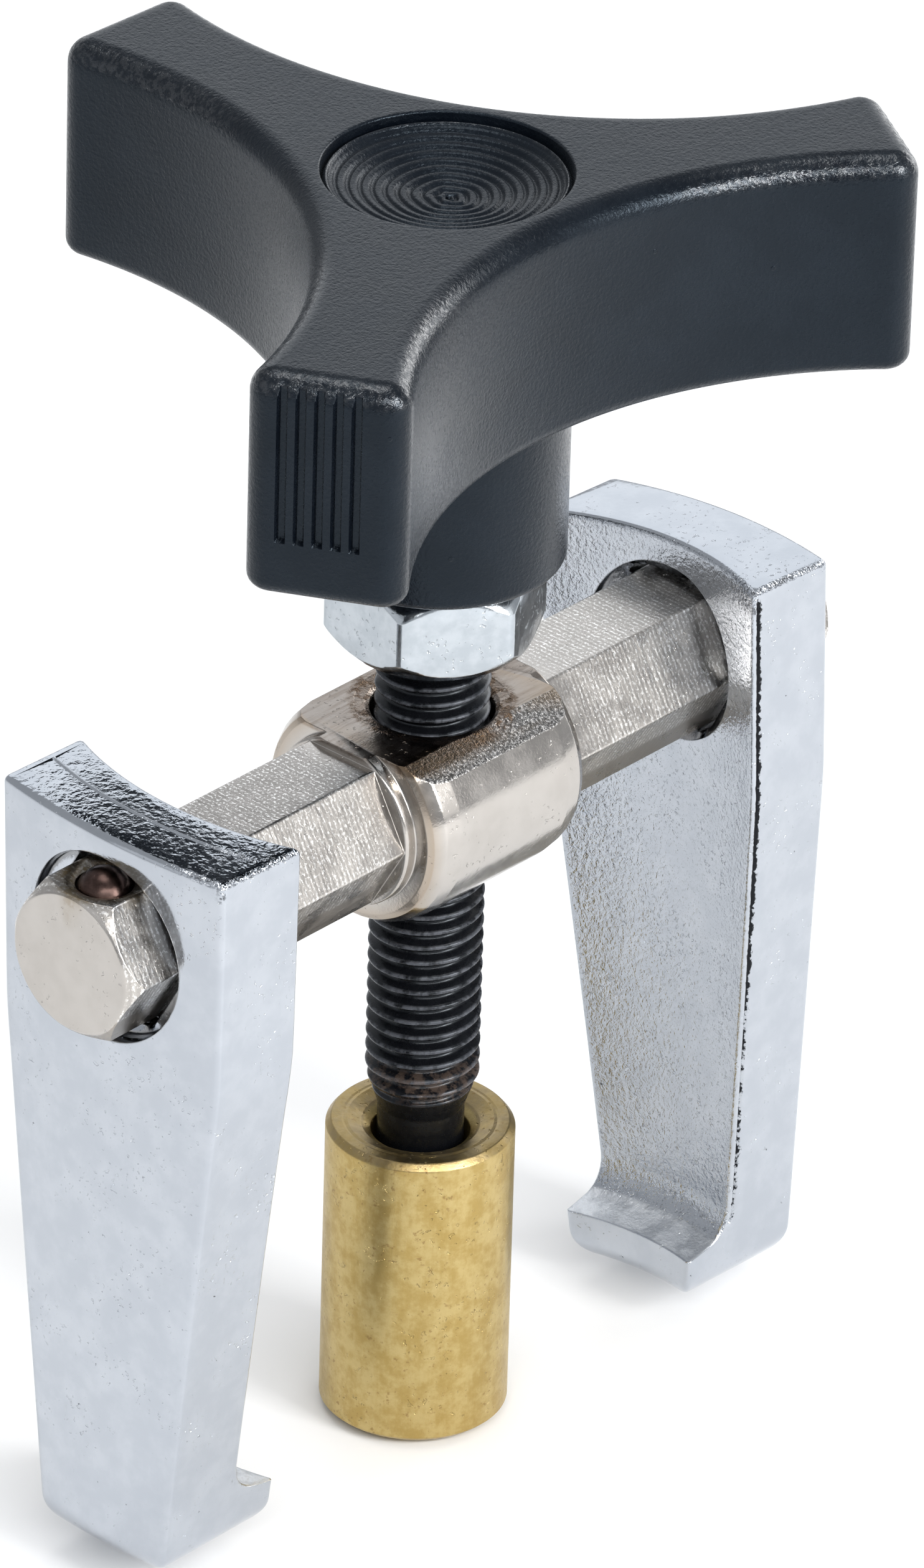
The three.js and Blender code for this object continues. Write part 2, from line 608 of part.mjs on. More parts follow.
puller.add(
  part('knob_body', knobBodyGeometry(), 0x23292f, 0.55, 0),
  part('knob_cap', knobCapGeometry(), 0x2a3138, 0.5, 0),
  part('knob_insert', knobInsertGeometry(), 0x8b8d90, 0.4, 1),
  part('lock_nut', lockNutGeometry(), 0xb4c0ca, 0.3, 1),
  part('spindle', spindleGeometry(), 0x16171a, 0.35, 0.9),
  part('pressure_sleeve', sleeveGeometry(), 0xc29a45, 0.3, 1),
  part('snap_ring', snapRingGeometry(), 0x5a5c60, 0.4, 1),
);

const bar = new THREE.Group();
bar.position.z = BAR_Z;
bar.add(part('cross_bar', crossBarGeometry(), 0xb5aca4, 0.35, 1));
for (const [side, x] of [['left', -BALL_X], ['right', BALL_X]]) {
  const ball = part(`detent_ball_${side}`, ballGeometry(), 0x3a2c2a, 0.25, 1);
  ball.position.set(x, 0, ballHeight);
  const spring = part(`detent_spring_${side}`, springGeometry(), 0x77797c, 0.4, 1);
  spring.position.x = x;
  bar.add(ball, spring);
}

const leftJaw = part('jaw_left', jawGeometry(), 0xc3ccd6, 0.12, 1);
leftJaw.position.x = JAW_LEFT_X;
leftJaw.rotation.set(JAW_LEFT_TILT, 0, Math.PI, 'XYZ');
const rightJaw = part('jaw_right', jawGeometry(), 0xc3ccd6, 0.12, 1);
rightJaw.position.x = JAW_RIGHT_X;
rightJaw.rotation.set(JAW_RIGHT_TILT, JAW_RIGHT_LEAN, JAW_RIGHT_TURN, 'ZXY');
bar.add(leftJaw, rightJaw);
puller.add(bar);

export default puller;
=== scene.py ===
import math

import bmesh
import bpy
import numpy as np
from mathutils import Matrix, Vector
from mathutils.geometry import tessellate_polygon


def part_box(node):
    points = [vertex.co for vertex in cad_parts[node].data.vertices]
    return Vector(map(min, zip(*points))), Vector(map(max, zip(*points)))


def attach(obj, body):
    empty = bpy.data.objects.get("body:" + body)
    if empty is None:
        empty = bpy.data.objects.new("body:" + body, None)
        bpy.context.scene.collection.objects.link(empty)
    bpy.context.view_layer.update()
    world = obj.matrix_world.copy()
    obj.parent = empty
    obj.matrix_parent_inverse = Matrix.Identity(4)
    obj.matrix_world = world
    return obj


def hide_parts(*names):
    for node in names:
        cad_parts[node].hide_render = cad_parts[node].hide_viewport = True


# Two-jaw sliding-arm puller with a star knob. The CAD nodes give the places and sizes; every node that
# shows is replaced here by a finer mesh with small radii, grooves, threads and a procedural material.
# Lengths below are in millimetres in the CAD frame unless a name says otherwise.

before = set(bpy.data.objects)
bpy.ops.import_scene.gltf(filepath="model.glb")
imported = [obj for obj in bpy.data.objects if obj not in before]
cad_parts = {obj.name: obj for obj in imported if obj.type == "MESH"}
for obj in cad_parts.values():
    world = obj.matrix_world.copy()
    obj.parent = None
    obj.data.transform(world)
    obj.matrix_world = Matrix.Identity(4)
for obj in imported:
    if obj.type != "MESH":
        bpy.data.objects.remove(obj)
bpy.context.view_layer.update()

MM = 0.001
TAU = 2 * math.pi
FLAT_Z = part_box("cross_bar")[1][2] / MM
BAR_Z = 62.8
BAR_FLATS = 13
HEX_TOP = BAR_Z + BAR_FLATS / 2
GROUND_Y = 5.9  # the barrel's ground flat starts this far in front of the bore's axis
GROUND_TILT = math.radians(28)
MILLING_PITCH = 0.52
SLEEVE_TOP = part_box("pressure_sleeve")[1][2] / MM


def span(node):
    low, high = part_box(node)
    return np.array(low) / MM, np.array(high) / MM


# ---------------- mesh helpers

def new_object(name, vertices, faces, place=None):
    """A closed mesh from millimetre vertices; place is an optional 4x4 for a tilted piece."""
    mesh = bpy.data.meshes.new(name)
    mesh.from_pydata([tuple(v) for v in np.asarray(vertices, float) * MM], [], faces)
    mesh.validate()
    if place is not None:
        mesh.transform(place)
    work = bmesh.new()
    work.from_mesh(mesh)
    bmesh.ops.remove_doubles(work, verts=work.verts, dist=2e-6)
    bmesh.ops.dissolve_degenerate(work, edges=work.edges, dist=1e-6)
    bmesh.ops.recalc_face_normals(work, faces=work.faces)
    work.to_mesh(mesh)
    work.free()
    obj = bpy.data.objects.new(name, mesh)
    bpy.context.scene.collection.objects.link(obj)
    return obj


def smooth(obj, angle):
    obj.data.polygons.foreach_set("use_smooth", [True] * len(obj.data.polygons))
    obj.data.set_sharp_from_angle(angle=math.radians(angle))


def quads(count, size, closed=False):
    """Faces between rings of size points each; closed also joins the last ring to the first."""
    faces = []
    for i in range(count if closed else count - 1):
        n = (i + 1) % count
        for j in range(size):
            k = (j + 1) % size
            faces.append((i * size + j, i * size + k, n * size + k, n * size + j))
    return faces


def loft(rings):
    """Vertices and faces of a closed skin through rings of equal length; a fan closes each end."""
    rings = np.asarray(rings, float)
    count, size = rings.shape[:2]
    vertices = list(rings.reshape(-1, 3))
    faces = quads(count, size)
    for ring, first in ((0, True), (count - 1, False)):
        centre = len(vertices)
        vertices.append(rings[ring].mean(axis=0))
        for j in range(size):
            a, b = ring * size + j, ring * size + (j + 1) % size
            faces.append((centre, b, a) if first else (centre, a, b))
    return vertices, faces


def rounded(points, steps=4):
    """A profile of (x, y, corner radius) points with each corner turned into an arc."""
    out = []
    for i, (x, y, radius) in enumerate(points):
        if radius == 0 or i in (0, len(points) - 1):
            out.append((x, y))
            continue
        here = Vector((x, y))
        to_last = (Vector(points[i - 1][:2]) - here).normalized()
        to_next = (Vector(points[i + 1][:2]) - here).normalized()
        half = to_last.angle(to_next) / 2
        centre = here + (to_last + to_next).normalized() * (radius / math.sin(half))
        first = here + to_last * (radius / math.tan(half)) - centre
        last = here + to_next * (radius / math.tan(half)) - centre
        turn = first.angle_signed(last)
        for step in range(steps + 1):
            angle = -turn * step / steps
            c, s = math.cos(angle), math.sin(angle)
            out.append((centre.x + c * first.x - s * first.y, centre.y + s * first.x + c * first.y))
    return out


def polar(angles, radius, along, lying=False):
    """A ring round Z, or round X if lying, from the radius and the place along the axis at each angle."""
    radius, along = np.broadcast_to(radius, angles.shape), np.broadcast_to(along, angles.shape)
    across = [radius * np.cos(angles), radius * np.sin(angles)]
    return np.column_stack([along, *across] if lying else [*across, along])


def turned(profile, size, centre=(0, 0, 0)):
    """Rings of a (radius, height) profile about a vertical axis through a centre."""
    angles = np.arange(size) * TAU / size
    rings = [polar(angles, max(radius, 0.004), height) for radius, height in profile]
    return np.array(rings) + np.array(centre)


def hexagon(angles, across_flats, corner, first_corner):
    """Radius at each angle of a hexagon whose corners are rounded with the radius corner."""
    inradius = across_flats / 2
    away = (angles - first_corner) % (TAU / 6) - TAU / 12
    sharp = inradius / np.cos(away)
    corner_radius = inradius / math.cos(TAU / 12)
    centre = corner_radius - corner / math.cos(TAU / 12)
    from_corner = TAU / 12 - np.abs(away)
    inside = np.clip(corner**2 - (centre * np.sin(from_corner)) ** 2, 0, None)
    arc = centre * np.cos(from_corner) + np.sqrt(inside)
    start = math.atan2(corner * math.sin(TAU / 12), centre + corner * math.cos(TAU / 12))
    return np.where(from_corner < start, arc, sharp)


def hex_angles(first_corner, per_side=26):
    """Angles round a hexagon, close together at the corners."""
    t = np.linspace(-1, 1, per_side, endpoint=False)
    side = np.sign(t) * np.abs(t) ** 0.45 * TAU / 12
    angles = [first_corner + TAU / 12 + side + i * TAU / 6 for i in range(6)]
    return np.sort(np.concatenate(angles))


def cut(obj, *cutters):
    """Takes the cutters away from obj for good."""
    for tool in cutters:
        modifier = obj.modifiers.new("cut", "BOOLEAN")
        modifier.operation = "DIFFERENCE"
        modifier.solver = "EXACT"
        modifier.object = tool
    bpy.context.view_layer.update()
    evaluated = obj.evaluated_get(bpy.context.evaluated_depsgraph_get())
    mesh = bpy.data.meshes.new_from_object(evaluated)
    obj.modifiers.clear()
    old, obj.data = obj.data, mesh
    bpy.data.meshes.remove(old)
    mesh.name = obj.name
    for tool in cutters:
        bpy.data.objects.remove(tool)


def tag(obj, name, values):
    """Stores one number per vertex for the material to read."""
    attribute = obj.data.attributes.new(name, "FLOAT", "POINT")
    attribute.data.foreach_set("value", np.asarray(values, np.float32))


def vertex_array(obj):
    flat = np.empty(len(obj.data.vertices) * 3)
    obj.data.vertices.foreach_get("co", flat)
    return flat.reshape(-1, 3) / MM


def smoothstep(low, high, x):
    t = np.clip((np.asarray(x, float) - low) / (high - low), 0, 1)
    return t * t * (3 - 2 * t)


def show(obj, body, material, slot, *nodes, angle):
    """Gives a finished piece its material and its body, and hides the CAD nodes it stands for; slot is not
    used.
    """
    obj.data.materials.clear()
    obj.data.materials.append(material)
    smooth(obj, angle)
    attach(obj, body)
    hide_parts(*nodes)


# ---------------- materials

class Shader:
    """A Principled material with short names for the nodes that feed it."""

    def __init__(self, name, metallic, roughness, **sockets):
        self.material = bpy.data.materials.new(name)
        self.material.use_nodes = True
        self.nodes = self.material.node_tree.nodes
        self.links = self.material.node_tree.links
        self.out = self.nodes["Principled BSDF"]
        self.out.inputs["Metallic"].default_value = metallic
        self.out.inputs["Roughness"].default_value = roughness
        for key, value in sockets.items():
            self.out.inputs[key.replace("_", " ")].default_value = value
        self.place = self.nodes.new("ShaderNodeTexCoord").outputs["Object"]
        self.normal = None

    def put(self, socket, value):
        if isinstance(value, bpy.types.NodeSocket):
            self.links.new(value, socket)
        elif isinstance(value, tuple) and len(value) == 3 and socket.type == "RGBA":
            socket.default_value = (*value, 1)
        else:
            socket.default_value = value

    def node(self, kind, **values):
        """A new node with its sockets set by name."""
        node = self.nodes.new("ShaderNode" + kind)
        for key, value in values.items():
            self.put(node.inputs[key.replace("_", " ")], value)
        return node

    def noise(self, size_mm, detail=2, rough=0.5, vector=None):
        return self.node("TexNoise", Vector=vector or self.place, Scale=1 / (size_mm * MM),
                         Detail=detail, Roughness=rough).outputs[0]

    def drawn(self, lengths_mm, detail=2, rough=0.5):
        """Noise with its own length along x, y and z."""
        scale = [1 / length for length in lengths_mm]
        return self.noise(1, detail, rough, self.node("Mapping", Vector=self.place, Scale=scale).outputs[0])

    def cells(self, size_mm):
        return self.node("TexVoronoi", Vector=self.place, Scale=1 / (size_mm * MM)).outputs["Distance"]

    def ramp(self, value, low, high, to_low=0.0, to_high=1.0):
        node = self.node("MapRange", Value=value, From_Min=low, From_Max=high,
                         To_Min=to_low, To_Max=to_high)
        node.interpolation_type = "SMOOTHSTEP"
        return node.outputs[0]

    def over(self, length, low_mm, high_mm, to_low=0.0, to_high=1.0):
        """A ramp over a length, with its ends in millimetres."""
        return self.ramp(length, low_mm * MM, high_mm * MM, to_low, to_high)

    def math(self, operation, a, b=0.0):
        node = self.node("Math")
        node.operation = operation
        self.put(node.inputs[0], a)
        self.put(node.inputs[1], b)
        return node.outputs[0]

    def times(self, product, *values):
        for value in values:
            product = self.math("MULTIPLY", product, value)
        return product

    def blend(self, a, b, share):
        """A share of a with the rest of b."""
        return self.math("ADD", self.times(a, share), self.times(b, 1 - share))

    def mix(self, factor, a, b):
        node = self.node("Mix", Factor=factor)
        node.data_type = "RGBA"
        self.put(node.inputs[6], a)
        self.put(node.inputs[7], b)
        return node.outputs[2]

    def attribute(self, name):
        node = self.node("Attribute")
        node.attribute_name = name
        return node.outputs["Fac"]

    def ground_band(self, x, y, z):
        """One on the flat that is ground along the barrel's front shoulder."""
        rise = self.times(self.math("SUBTRACT", z, FLAT_Z * MM), math.cos(GROUND_TILT))
        fall = self.times(self.math("ADD", y, GROUND_Y * MM), math.sin(GROUND_TILT))
        away = self.math("ABSOLUTE", self.math("SUBTRACT", rise, fall))
        across = self.math("ABSOLUTE", x)
        return self.times(self.over(away, 0.03, 0.08, 1, 0), self.over(y, -4, -4.5),
                          self.over(across, 10.5, 10.7, 1, 0))

    def axes(self):
        return self.node("SeparateXYZ", Vector=self.place).outputs

    def bump(self, height, depth_mm, strength):
        node = self.node("Bump", Distance=depth_mm * MM, Strength=strength, Height=height)
        if self.normal:
            self.put(node.inputs["Normal"], self.normal)
        self.bend(node)

    def bend(self, node):
        """Takes a node's outcome as the surface's normal from here on."""
        self.normal = node.outputs[0]
        self.put(self.out.inputs["Normal"], self.normal)

    def pits(self, size_mm, levels, patch_mm, patch_levels, depth_mm, strength):
        """Pits that lie in patches; each fades in between two levels of its own noise."""
        spots = self.ramp(self.noise(size_mm), *levels)
        patches = self.ramp(self.noise(patch_mm), *patch_levels)
        self.bump(self.times(spots, patches, -1), depth_mm, strength)

    def edge_round(self, radius_mm):
        """Softens edges that a cut left sharp."""
        node = self.node("Bevel", Radius=radius_mm * MM)
        node.samples = 6
        self.bend(node)

    def color(self, value):
        self.base = value
        self.put(self.out.inputs["Base Color"], value)

    def paint(self, value, *factors):
        """Lays another colour over the base, as strongly as the product of the factors."""
        self.color(self.mix(self.times(*factors), self.base, value))

    def rough(self, value):
        self.put(self.out.inputs["Roughness"], value)


def plastic(name, dark, light, roughness, gloss):
    s = Shader(name, 0, roughness, Specular_IOR_Level=gloss, Specular_Tint=(0.68, 0.84, 1.0, 1),
               Coat_Roughness=0.12,
               Sheen_Weight=0.035, Sheen_Roughness=0.4, Sheen_Tint=(0.75, 0.87, 1.0, 1))
    patches = s.noise(6, 4, 0.6)
    grain = s.noise(0.34, 3, 0.6)
    s.color(s.mix(s.ramp(patches, 0.35, 0.65), dark, light))
    s.rough(s.ramp(s.blend(patches, grain, 0.35), 0.35, 0.65, roughness - 0.08, roughness + 0.1))
    s.bump(s.noise(2.2), 0.05, 0.4)
    s.bump(grain, 0.075, 0.8)
    nicks = s.ramp(s.cells(5.5), 0.03, 0.045, 1, 0)
    s.bump(nicks, 0.05, 0.6)
    wear_and_highlight = s.times(s.attribute("edge"), s.ramp(s.noise(0.5, 3, 0.7), 0.42, 0.58, 0.25, 1))
    s.bump(s.noise(0.5, 2, 0.6), 0.09, wear_and_highlight)
    s.put(s.out.inputs["Coat Weight"], wear_and_highlight)
    s.put(s.out.inputs["Coat Normal"], s.normal)
    return s.material


def chrome(name):
    s = Shader(name, 1, 0.1)
    s.edge_round(0.2)
    cast, broken, shelf = (s.attribute(key) for key in ("cast", "broken", "shelf"))
    haze = s.noise(3, 4, 0.6)
    dirt = (0.05, 0.053, 0.058)
    s.color(s.mix(s.ramp(haze, 0.35, 0.7), (0.457, 0.486, 0.53), (0.505, 0.534, 0.577)))
    crackle = s.times(s.ramp(s.noise(0.42, 3, 0.7), 0.57, 0.63), s.ramp(s.noise(4.5, 3, 0.6), 0.42, 0.60))
    s.paint(dirt, crackle, cast, 0.38)
    s.paint(dirt, s.ramp(s.noise(0.5, 3, 0.7), 0.53, 0.60), broken, 0.75)
    # painted light: the shelf is painted a near-white colour in patches, standing in for light it would
    # catch
    s.paint((0.86, 0.89, 0.93), shelf, s.ramp(s.noise(3.2, 3, 0.6), 0.42, 0.55, 0.45, 1), 0.9)
    ragged = s.times(s.math("SUBTRACT", s.noise(0.7, 3, 0.7), 0.5), 1.9)
    s.paint((0.02, 0.021, 0.024), s.ramp(s.math("ADD", s.attribute("seam"), ragged), 0.35, 0.55))
    s.rough(s.math("ADD", s.ramp(haze, 0.35, 0.7, 0.07, 0.13), s.times(shelf, 0.42)))
    s.bump(s.noise(11), 0.3, 0.3)
    s.bump(s.noise(1.9), 0.03, 0.3)
    s.bump(s.noise(0.66), 0.075, s.times(s.attribute("skin"), 0.9))
    s.bump(s.noise(0.46, 3, 0.6), 0.12, cast)
    s.bump(s.noise(0.55, 2, 0.6), 0.32, broken)
    s.pits(0.5, (0.63, 0.69), 6, (0.44, 0.62), 0.05, 0.8)
    s.bump(s.noise(0.2), 0.004, 0.6)
    return s.material


def nickel(name):
    s = Shader(name, 1, 0.2)
    s.edge_round(0.14)
    milled = s.attribute("milled")
    x, y, z = s.axes()
    haze = s.noise(2.4, 4, 0.6)
    patch = s.ramp(s.noise(1.3, 4, 0.7), 0.46, 0.60)
    # the barrel: its ground flat, its top flat (darker brown: partly stain, partly painted shade), and the
    # ragged stain and the oil round the bore
    ground = s.ground_band(x, y, z)
    grit = s.ramp(s.noise(0.27, 3, 0.7), 0.44, 0.60)
    streak = s.ramp(s.drawn((6, 0.7, 0.7), 3, 0.6), 0.38, 0.66, 0.65, 1.0)
    flat = s.times(s.over(z, FLAT_Z - 0.5, FLAT_Z - 0.2), streak)
    top = s.over(z, FLAT_Z - 1.0, FLAT_Z - 0.6)
    radius = s.math("SQRT", s.math("ADD", s.times(x, x), s.times(y, y)))
    ragged = s.math("ADD", radius, s.times(s.noise(1.1, 3, 0.7), 1.6 * MM))
    stain = s.times(s.over(ragged, 7.7, 8.4, 1, 0), top, s.ramp(patch, 0.0, 1.0, 0.35, 1))
    oil = s.times(top, s.over(y, -4.6, -5.6), s.over(x, 1.2, -0.2))
    # the hexagon: bright specks along the milling lines as painted glints, and a top and an underside
    # painted darker as painted shade
    lines = s.math("SINE", s.times(x, TAU / (MILLING_PITCH * MM)))
    dots = s.math("ADD", s.drawn((0.2, 0.3, 0.3), 3, 0.6), s.times(lines, 0.05))
    painted_glints = s.times(milled, s.ramp(dots, 0.54, 0.62))
    between = s.times(milled, s.ramp(lines, 0.6, -0.8, 0, 0.4))
    shaded_hex_top = s.times(milled, s.over(z, HEX_TOP - 0.15, HEX_TOP - 0.05))
    shaded_underside = s.times(milled, s.over(z, BAR_Z - 3, BAR_Z - 3.8))
    s.color(s.mix(s.ramp(haze, 0.3, 0.7), (0.515, 0.488, 0.458), (0.58, 0.553, 0.522)))
    s.paint((0.36, 0.336, 0.312), s.math("SUBTRACT", 1.0, milled), 0.32)
    # painted shade mixed with stain: the top flat is painted a darker brown along drawn streaks
    s.paint((0.245, 0.208, 0.18), flat)
    # painted shade: the hexagon's top is darker, most strongly left of x = 5 mm
    s.paint((0.35, 0.33, 0.315), shaded_hex_top, s.over(x, 5, 15, 0.85, 0.1))
    # painted shade: the hexagon's underside is darker and browner
    s.paint((0.33, 0.295, 0.255), shaded_underside, 0.75)
    s.paint((0.36, 0.34, 0.32), between)
    # painted glints: near-white specks along the milling lines, kept off the shaded underside
    s.paint((0.98, 0.965, 0.94), painted_glints, 0.9, s.math("SUBTRACT", 1.0, shaded_underside))
    s.paint(s.mix(grit, (0.14, 0.137, 0.133), (0.60, 0.59, 0.58)), ground, 0.9)
    s.paint((0.36, 0.27, 0.18), s.attribute("rim"), 0.6)
    s.paint((0.24, 0.18, 0.10), s.attribute("socket"), s.ramp(patch, 0, 1, 0.55, 0.95))
    s.paint((0.12, 0.08, 0.05), oil, 0.8)
    s.paint((0.16, 0.105, 0.065), stain)
    s.rough(s.math("ADD", s.ramp(haze, 0.3, 0.7, 0.13, 0.24), s.times(milled, 0.12)))
    s.bump(s.drawn((0.33, 2.2, 2.2)), 0.028, s.times(milled, 0.8))
    s.bump(s.noise(0.3, 2, 0.6), 0.02, s.times(milled, 0.8))
    s.bump(s.noise(0.3, 3, 0.7), 0.10, ground)
    s.bump(s.noise(0.55, 3, 0.7), 0.26, stain)
    s.bump(s.noise(1.6, 3, 0.6), 0.025, 0.5)
    s.bump(s.noise(0.24, 2, 0.6), 0.01, 0.8)
    s.pits(0.45, (0.66, 0.71), 3, (0.45, 0.6), 0.06, 0.8)
    return s.material


def brass(name):
    s = Shader(name, 1, 0.22)
    haze = s.noise(1.8, 4, 0.65)
    streaks = s.drawn((1.1, 1.1, 9), 3, 0.6)
    grain = s.noise(0.3, 3, 0.6)
    tarnish = s.ramp(s.blend(haze, streaks, 0.7), 0.38, 0.62)
    s.color(s.mix(tarnish, (0.432, 0.309, 0.108), (0.546, 0.424, 0.188)))
    # painted shade: the sleeve's top end is painted a darker brown, in patches
    shaded_end = s.over(s.axes()[2], SLEEVE_TOP - 0.75, SLEEVE_TOP - 0.45)
    s.paint((0.34, 0.26, 0.145), shaded_end, s.ramp(haze, 0.35, 0.65, 0.35, 0.85))
    spots = s.times(s.ramp(s.noise(0.55, 3, 0.6), 0.60, 0.68), s.ramp(s.noise(3.5), 0.44, 0.58))
    s.paint((0.30, 0.19, 0.075), spots, 0.7)
    s.rough(s.ramp(s.blend(streaks, grain, 0.6), 0.35, 0.65, 0.32, 0.44))
    s.bump(streaks, 0.05, 0.6)
    s.bump(s.drawn((3, 3, 0.15)), 0.006, 0.6)
    s.bump(grain, 0.02, 0.8)
    s.pits(0.5, (0.64, 0.70), 3, (0.46, 0.56), 0.1, 0.9)
    return s.material


def black_oxide(name):
    s = Shader(name, 0.1, 0.24, Specular_IOR_Level=0.34, Specular_Tint=(0.85, 0.93, 1.0, 1))
    z = s.axes()[2]
    # the crests are painted lighter: partly wear, partly a painted highlight along the crest lines
    wear_and_highlight = s.times(s.attribute("crest"), s.ramp(s.noise(1.2, 3, 0.6), 0.36, 0.6))
    s.color(s.mix(wear_and_highlight, (0.0045, 0.005, 0.0065), (0.07, 0.074, 0.085)))
    low_end = s.times(s.over(z, 31.8, 32.8), s.over(z, 36.2, 34.8))
    s.paint((0.12, 0.085, 0.065), low_end, s.ramp(s.noise(0.8, 4, 0.7), 0.42, 0.6), 0.5)
    s.rough(s.ramp(s.noise(0.6, 3), 0.35, 0.65, 0.2, 0.32))
    s.bump(s.noise(0.5), 0.012, 0.5)
    s.bump(s.noise(1.8), 0.02, 0.4)
    return s.material


def plated(name, low, high, roughness, edge_mm=0):
    s = Shader(name, 1, roughness)
    if edge_mm:
        s.edge_round(edge_mm)
    haze = s.noise(1.6, 4, 0.6)
    s.color(s.mix(s.ramp(haze, 0.35, 0.68), low, high))
    s.rough(s.ramp(haze, 0.35, 0.68, roughness - 0.03, roughness + 0.06))
    s.bump(s.noise(2.0, 3), 0.035, 0.4)
    s.bump(s.noise(0.25, 2, 0.6), 0.01, 0.7)
    s.pits(0.5, (0.62, 0.68), 3, (0.42, 0.58), 0.05, 0.7)
    return s.material


KNOB = plastic("knob_plastic", (0.0016, 0.0027, 0.0050), (0.0034, 0.0051, 0.0082), 0.22, 0.27)
CAP = plastic("cap_plastic", (0.0028, 0.0040, 0.0064), (0.0050, 0.0068, 0.0100), 0.2, 0.22)
ZINC = plated("zinc_plate", (0.428, 0.465, 0.50), (0.508, 0.546, 0.58), 0.14, edge_mm=0.2)
BALL = plated("ball_steel", (0.05, 0.032, 0.028), (0.10, 0.066, 0.058), 0.3)
STEEL = plated("plain_steel", (0.36, 0.36, 0.37), (0.50, 0.50, 0.51), 0.3)
CHROME = chrome("jaw_chrome")
NICKEL = nickel("nickel_plate")
BRASS = brass("brass")
OXIDE = black_oxide("black_oxide")

# ---------------- knob

knob_low, knob_high = span("knob_body")
ARM_TOP = knob_high[2]
HUB_BOTTOM = knob_low[2]
ARM_BOTTOM = ARM_TOP - 20.4
ARM_REACH = 39.8
ARM_HALF_WIDTH = 7.44
ARM_WAIST = 13.5
ARM_CORNER = 2.25
TOP_ROUND = 2.2
BOTTOM_ROUND = 1.4
KNOB_TURN = math.radians(88)
HUB_RADIUS = 11.1
SEAT_RADIUS = 10.7
GROOVE_PITCH = 1.68
GROOVE_MIDDLE = -0.45  # the grooves sit a little to one side of each arm's end
GROOVE_HALF = 0.5
GROOVE_EDGE = 0.24
GROOVE_DEPTH = 0.5
GROOVE_LOW = 105.9
GROOVES = [GROOVE_MIDDLE + i * GROOVE_PITCH for i in range(-2, 3)]
BEYOND_GROOVES = [4.2, 4.8]
SIDE_LEVELS = (118.5, 117, 115, 113, 111, 109, 107.5)
CAP_SEAT_DEPTH = 3.8
INSERT_RADIUS = 7.8
INSERT_DEPTH = 18.3


def knob_columns():
    """Where the outline has a point across an arm's end: at both edges of each groove, and beyond them."""
    ends = []
    for middle in GROOVES:
        for side in (GROOVE_HALF, GROOVE_HALF - GROOVE_EDGE / 2, GROOVE_HALF - GROOVE_EDGE):
            ends += [middle - side, middle + side]
    return sorted(ends + BEYOND_GROOVES)


END_COLUMNS = knob_columns()
END_LIMIT = 4.9  # the corner rounds begin just past this
CORNER_STEPS = 9
HOLLOW_STEPS = 34


def knob_outline(inset):
    """The knob's outline drawn in by inset, always with the same columns."""
    tip = math.hypot(ARM_REACH, ARM_HALF_WIDTH)
    half = math.pi / 3 - math.atan2(ARM_HALF_WIDTH, ARM_REACH)
    end_x, end_y = tip * math.cos(half), tip * math.sin(half)
    centre = (end_x**2 + end_y**2 - ARM_WAIST**2) / (2 * (end_x - ARM_WAIST))
    radius = centre - ARM_WAIST + inset
    arc_x, arc_y = centre * math.cos(math.pi / 3), centre * math.sin(math.pi / 3)
    corner = max(ARM_CORNER - inset, 0.02)
    corner_x = ARM_REACH - inset - corner
    corner_y = arc_y - math.sqrt((radius + corner) ** 2 - (corner_x - arc_x) ** 2)
    sweep = math.atan2(arc_y - corner_y, arc_x - corner_x)
    hollow = math.atan2(corner_y - arc_y, corner_x - arc_x)
    side = []
    for i in range(CORNER_STEPS + 1):
        angle = sweep * i / CORNER_STEPS
        side.append((corner_x + corner * math.cos(angle), corner_y + corner * math.sin(angle)))
    for i in range(1, HOLLOW_STEPS + 1):
        angle = hollow + (math.radians(-120) - hollow) * i / HOLLOW_STEPS
        side.append((arc_x + radius * math.cos(angle), arc_y + radius * math.sin(angle)))
    mirrored = [(x, -y) for x, y in reversed(side)][1:]
    room = min(corner_y / END_LIMIT, 1)
    ends = [(ARM_REACH - inset, y * room) for y in END_COLUMNS]
    arm = np.array(mirrored + ends + side)
    points = []
    for i in range(3):
        angle = KNOB_TURN + i * TAU / 3
        c, s = math.cos(angle), math.sin(angle)
        points.append(arm @ np.array([[c, s], [-s, c]]))
    return np.concatenate(points)


def groove_depths():
    """How deep each column of the outline lies in a groove, from 0 to 1."""
    depth = []
    for y in END_COLUMNS:
        near = min(abs(y - middle) for middle in GROOVES)
        depth.append(float(np.interp(near, [GROOVE_HALF - GROOVE_EDGE, GROOVE_HALF], [1, 0])))
    before = [0.0] * (CORNER_STEPS + HOLLOW_STEPS)
    after = [0.0] * (CORNER_STEPS + HOLLOW_STEPS + 1)
    return np.array((before + depth + after) * 3)


def stitched(groups):
    """Groups of rings as one closed skin: flat faces fill the gaps between them and close both ends."""
    vertices, faces, loops = [], [], []
    for rings in groups:
        start, count, size = len(vertices), len(rings), len(rings[0])
        vertices += list(np.concatenate(rings))
        faces += [tuple(start + i for i in quad) for quad in quads(count, size)]
        loops.append((range(start, start + size), range(len(vertices) - size, len(vertices))))
    gaps = [(loops[0][0],), (loops[-1][1],)]
    gaps += [(loops[i][1], loops[i + 1][0]) for i in range(len(loops) - 1)]
    for gap in gaps:
        order = [i for loop in gap for i in loop]
        shape = [[Vector(vertices[i]) for i in loop] for loop in gap]
        faces += [tuple(order[i] for i in corners) for corners in tessellate_polygon(shape)]
    return vertices, faces


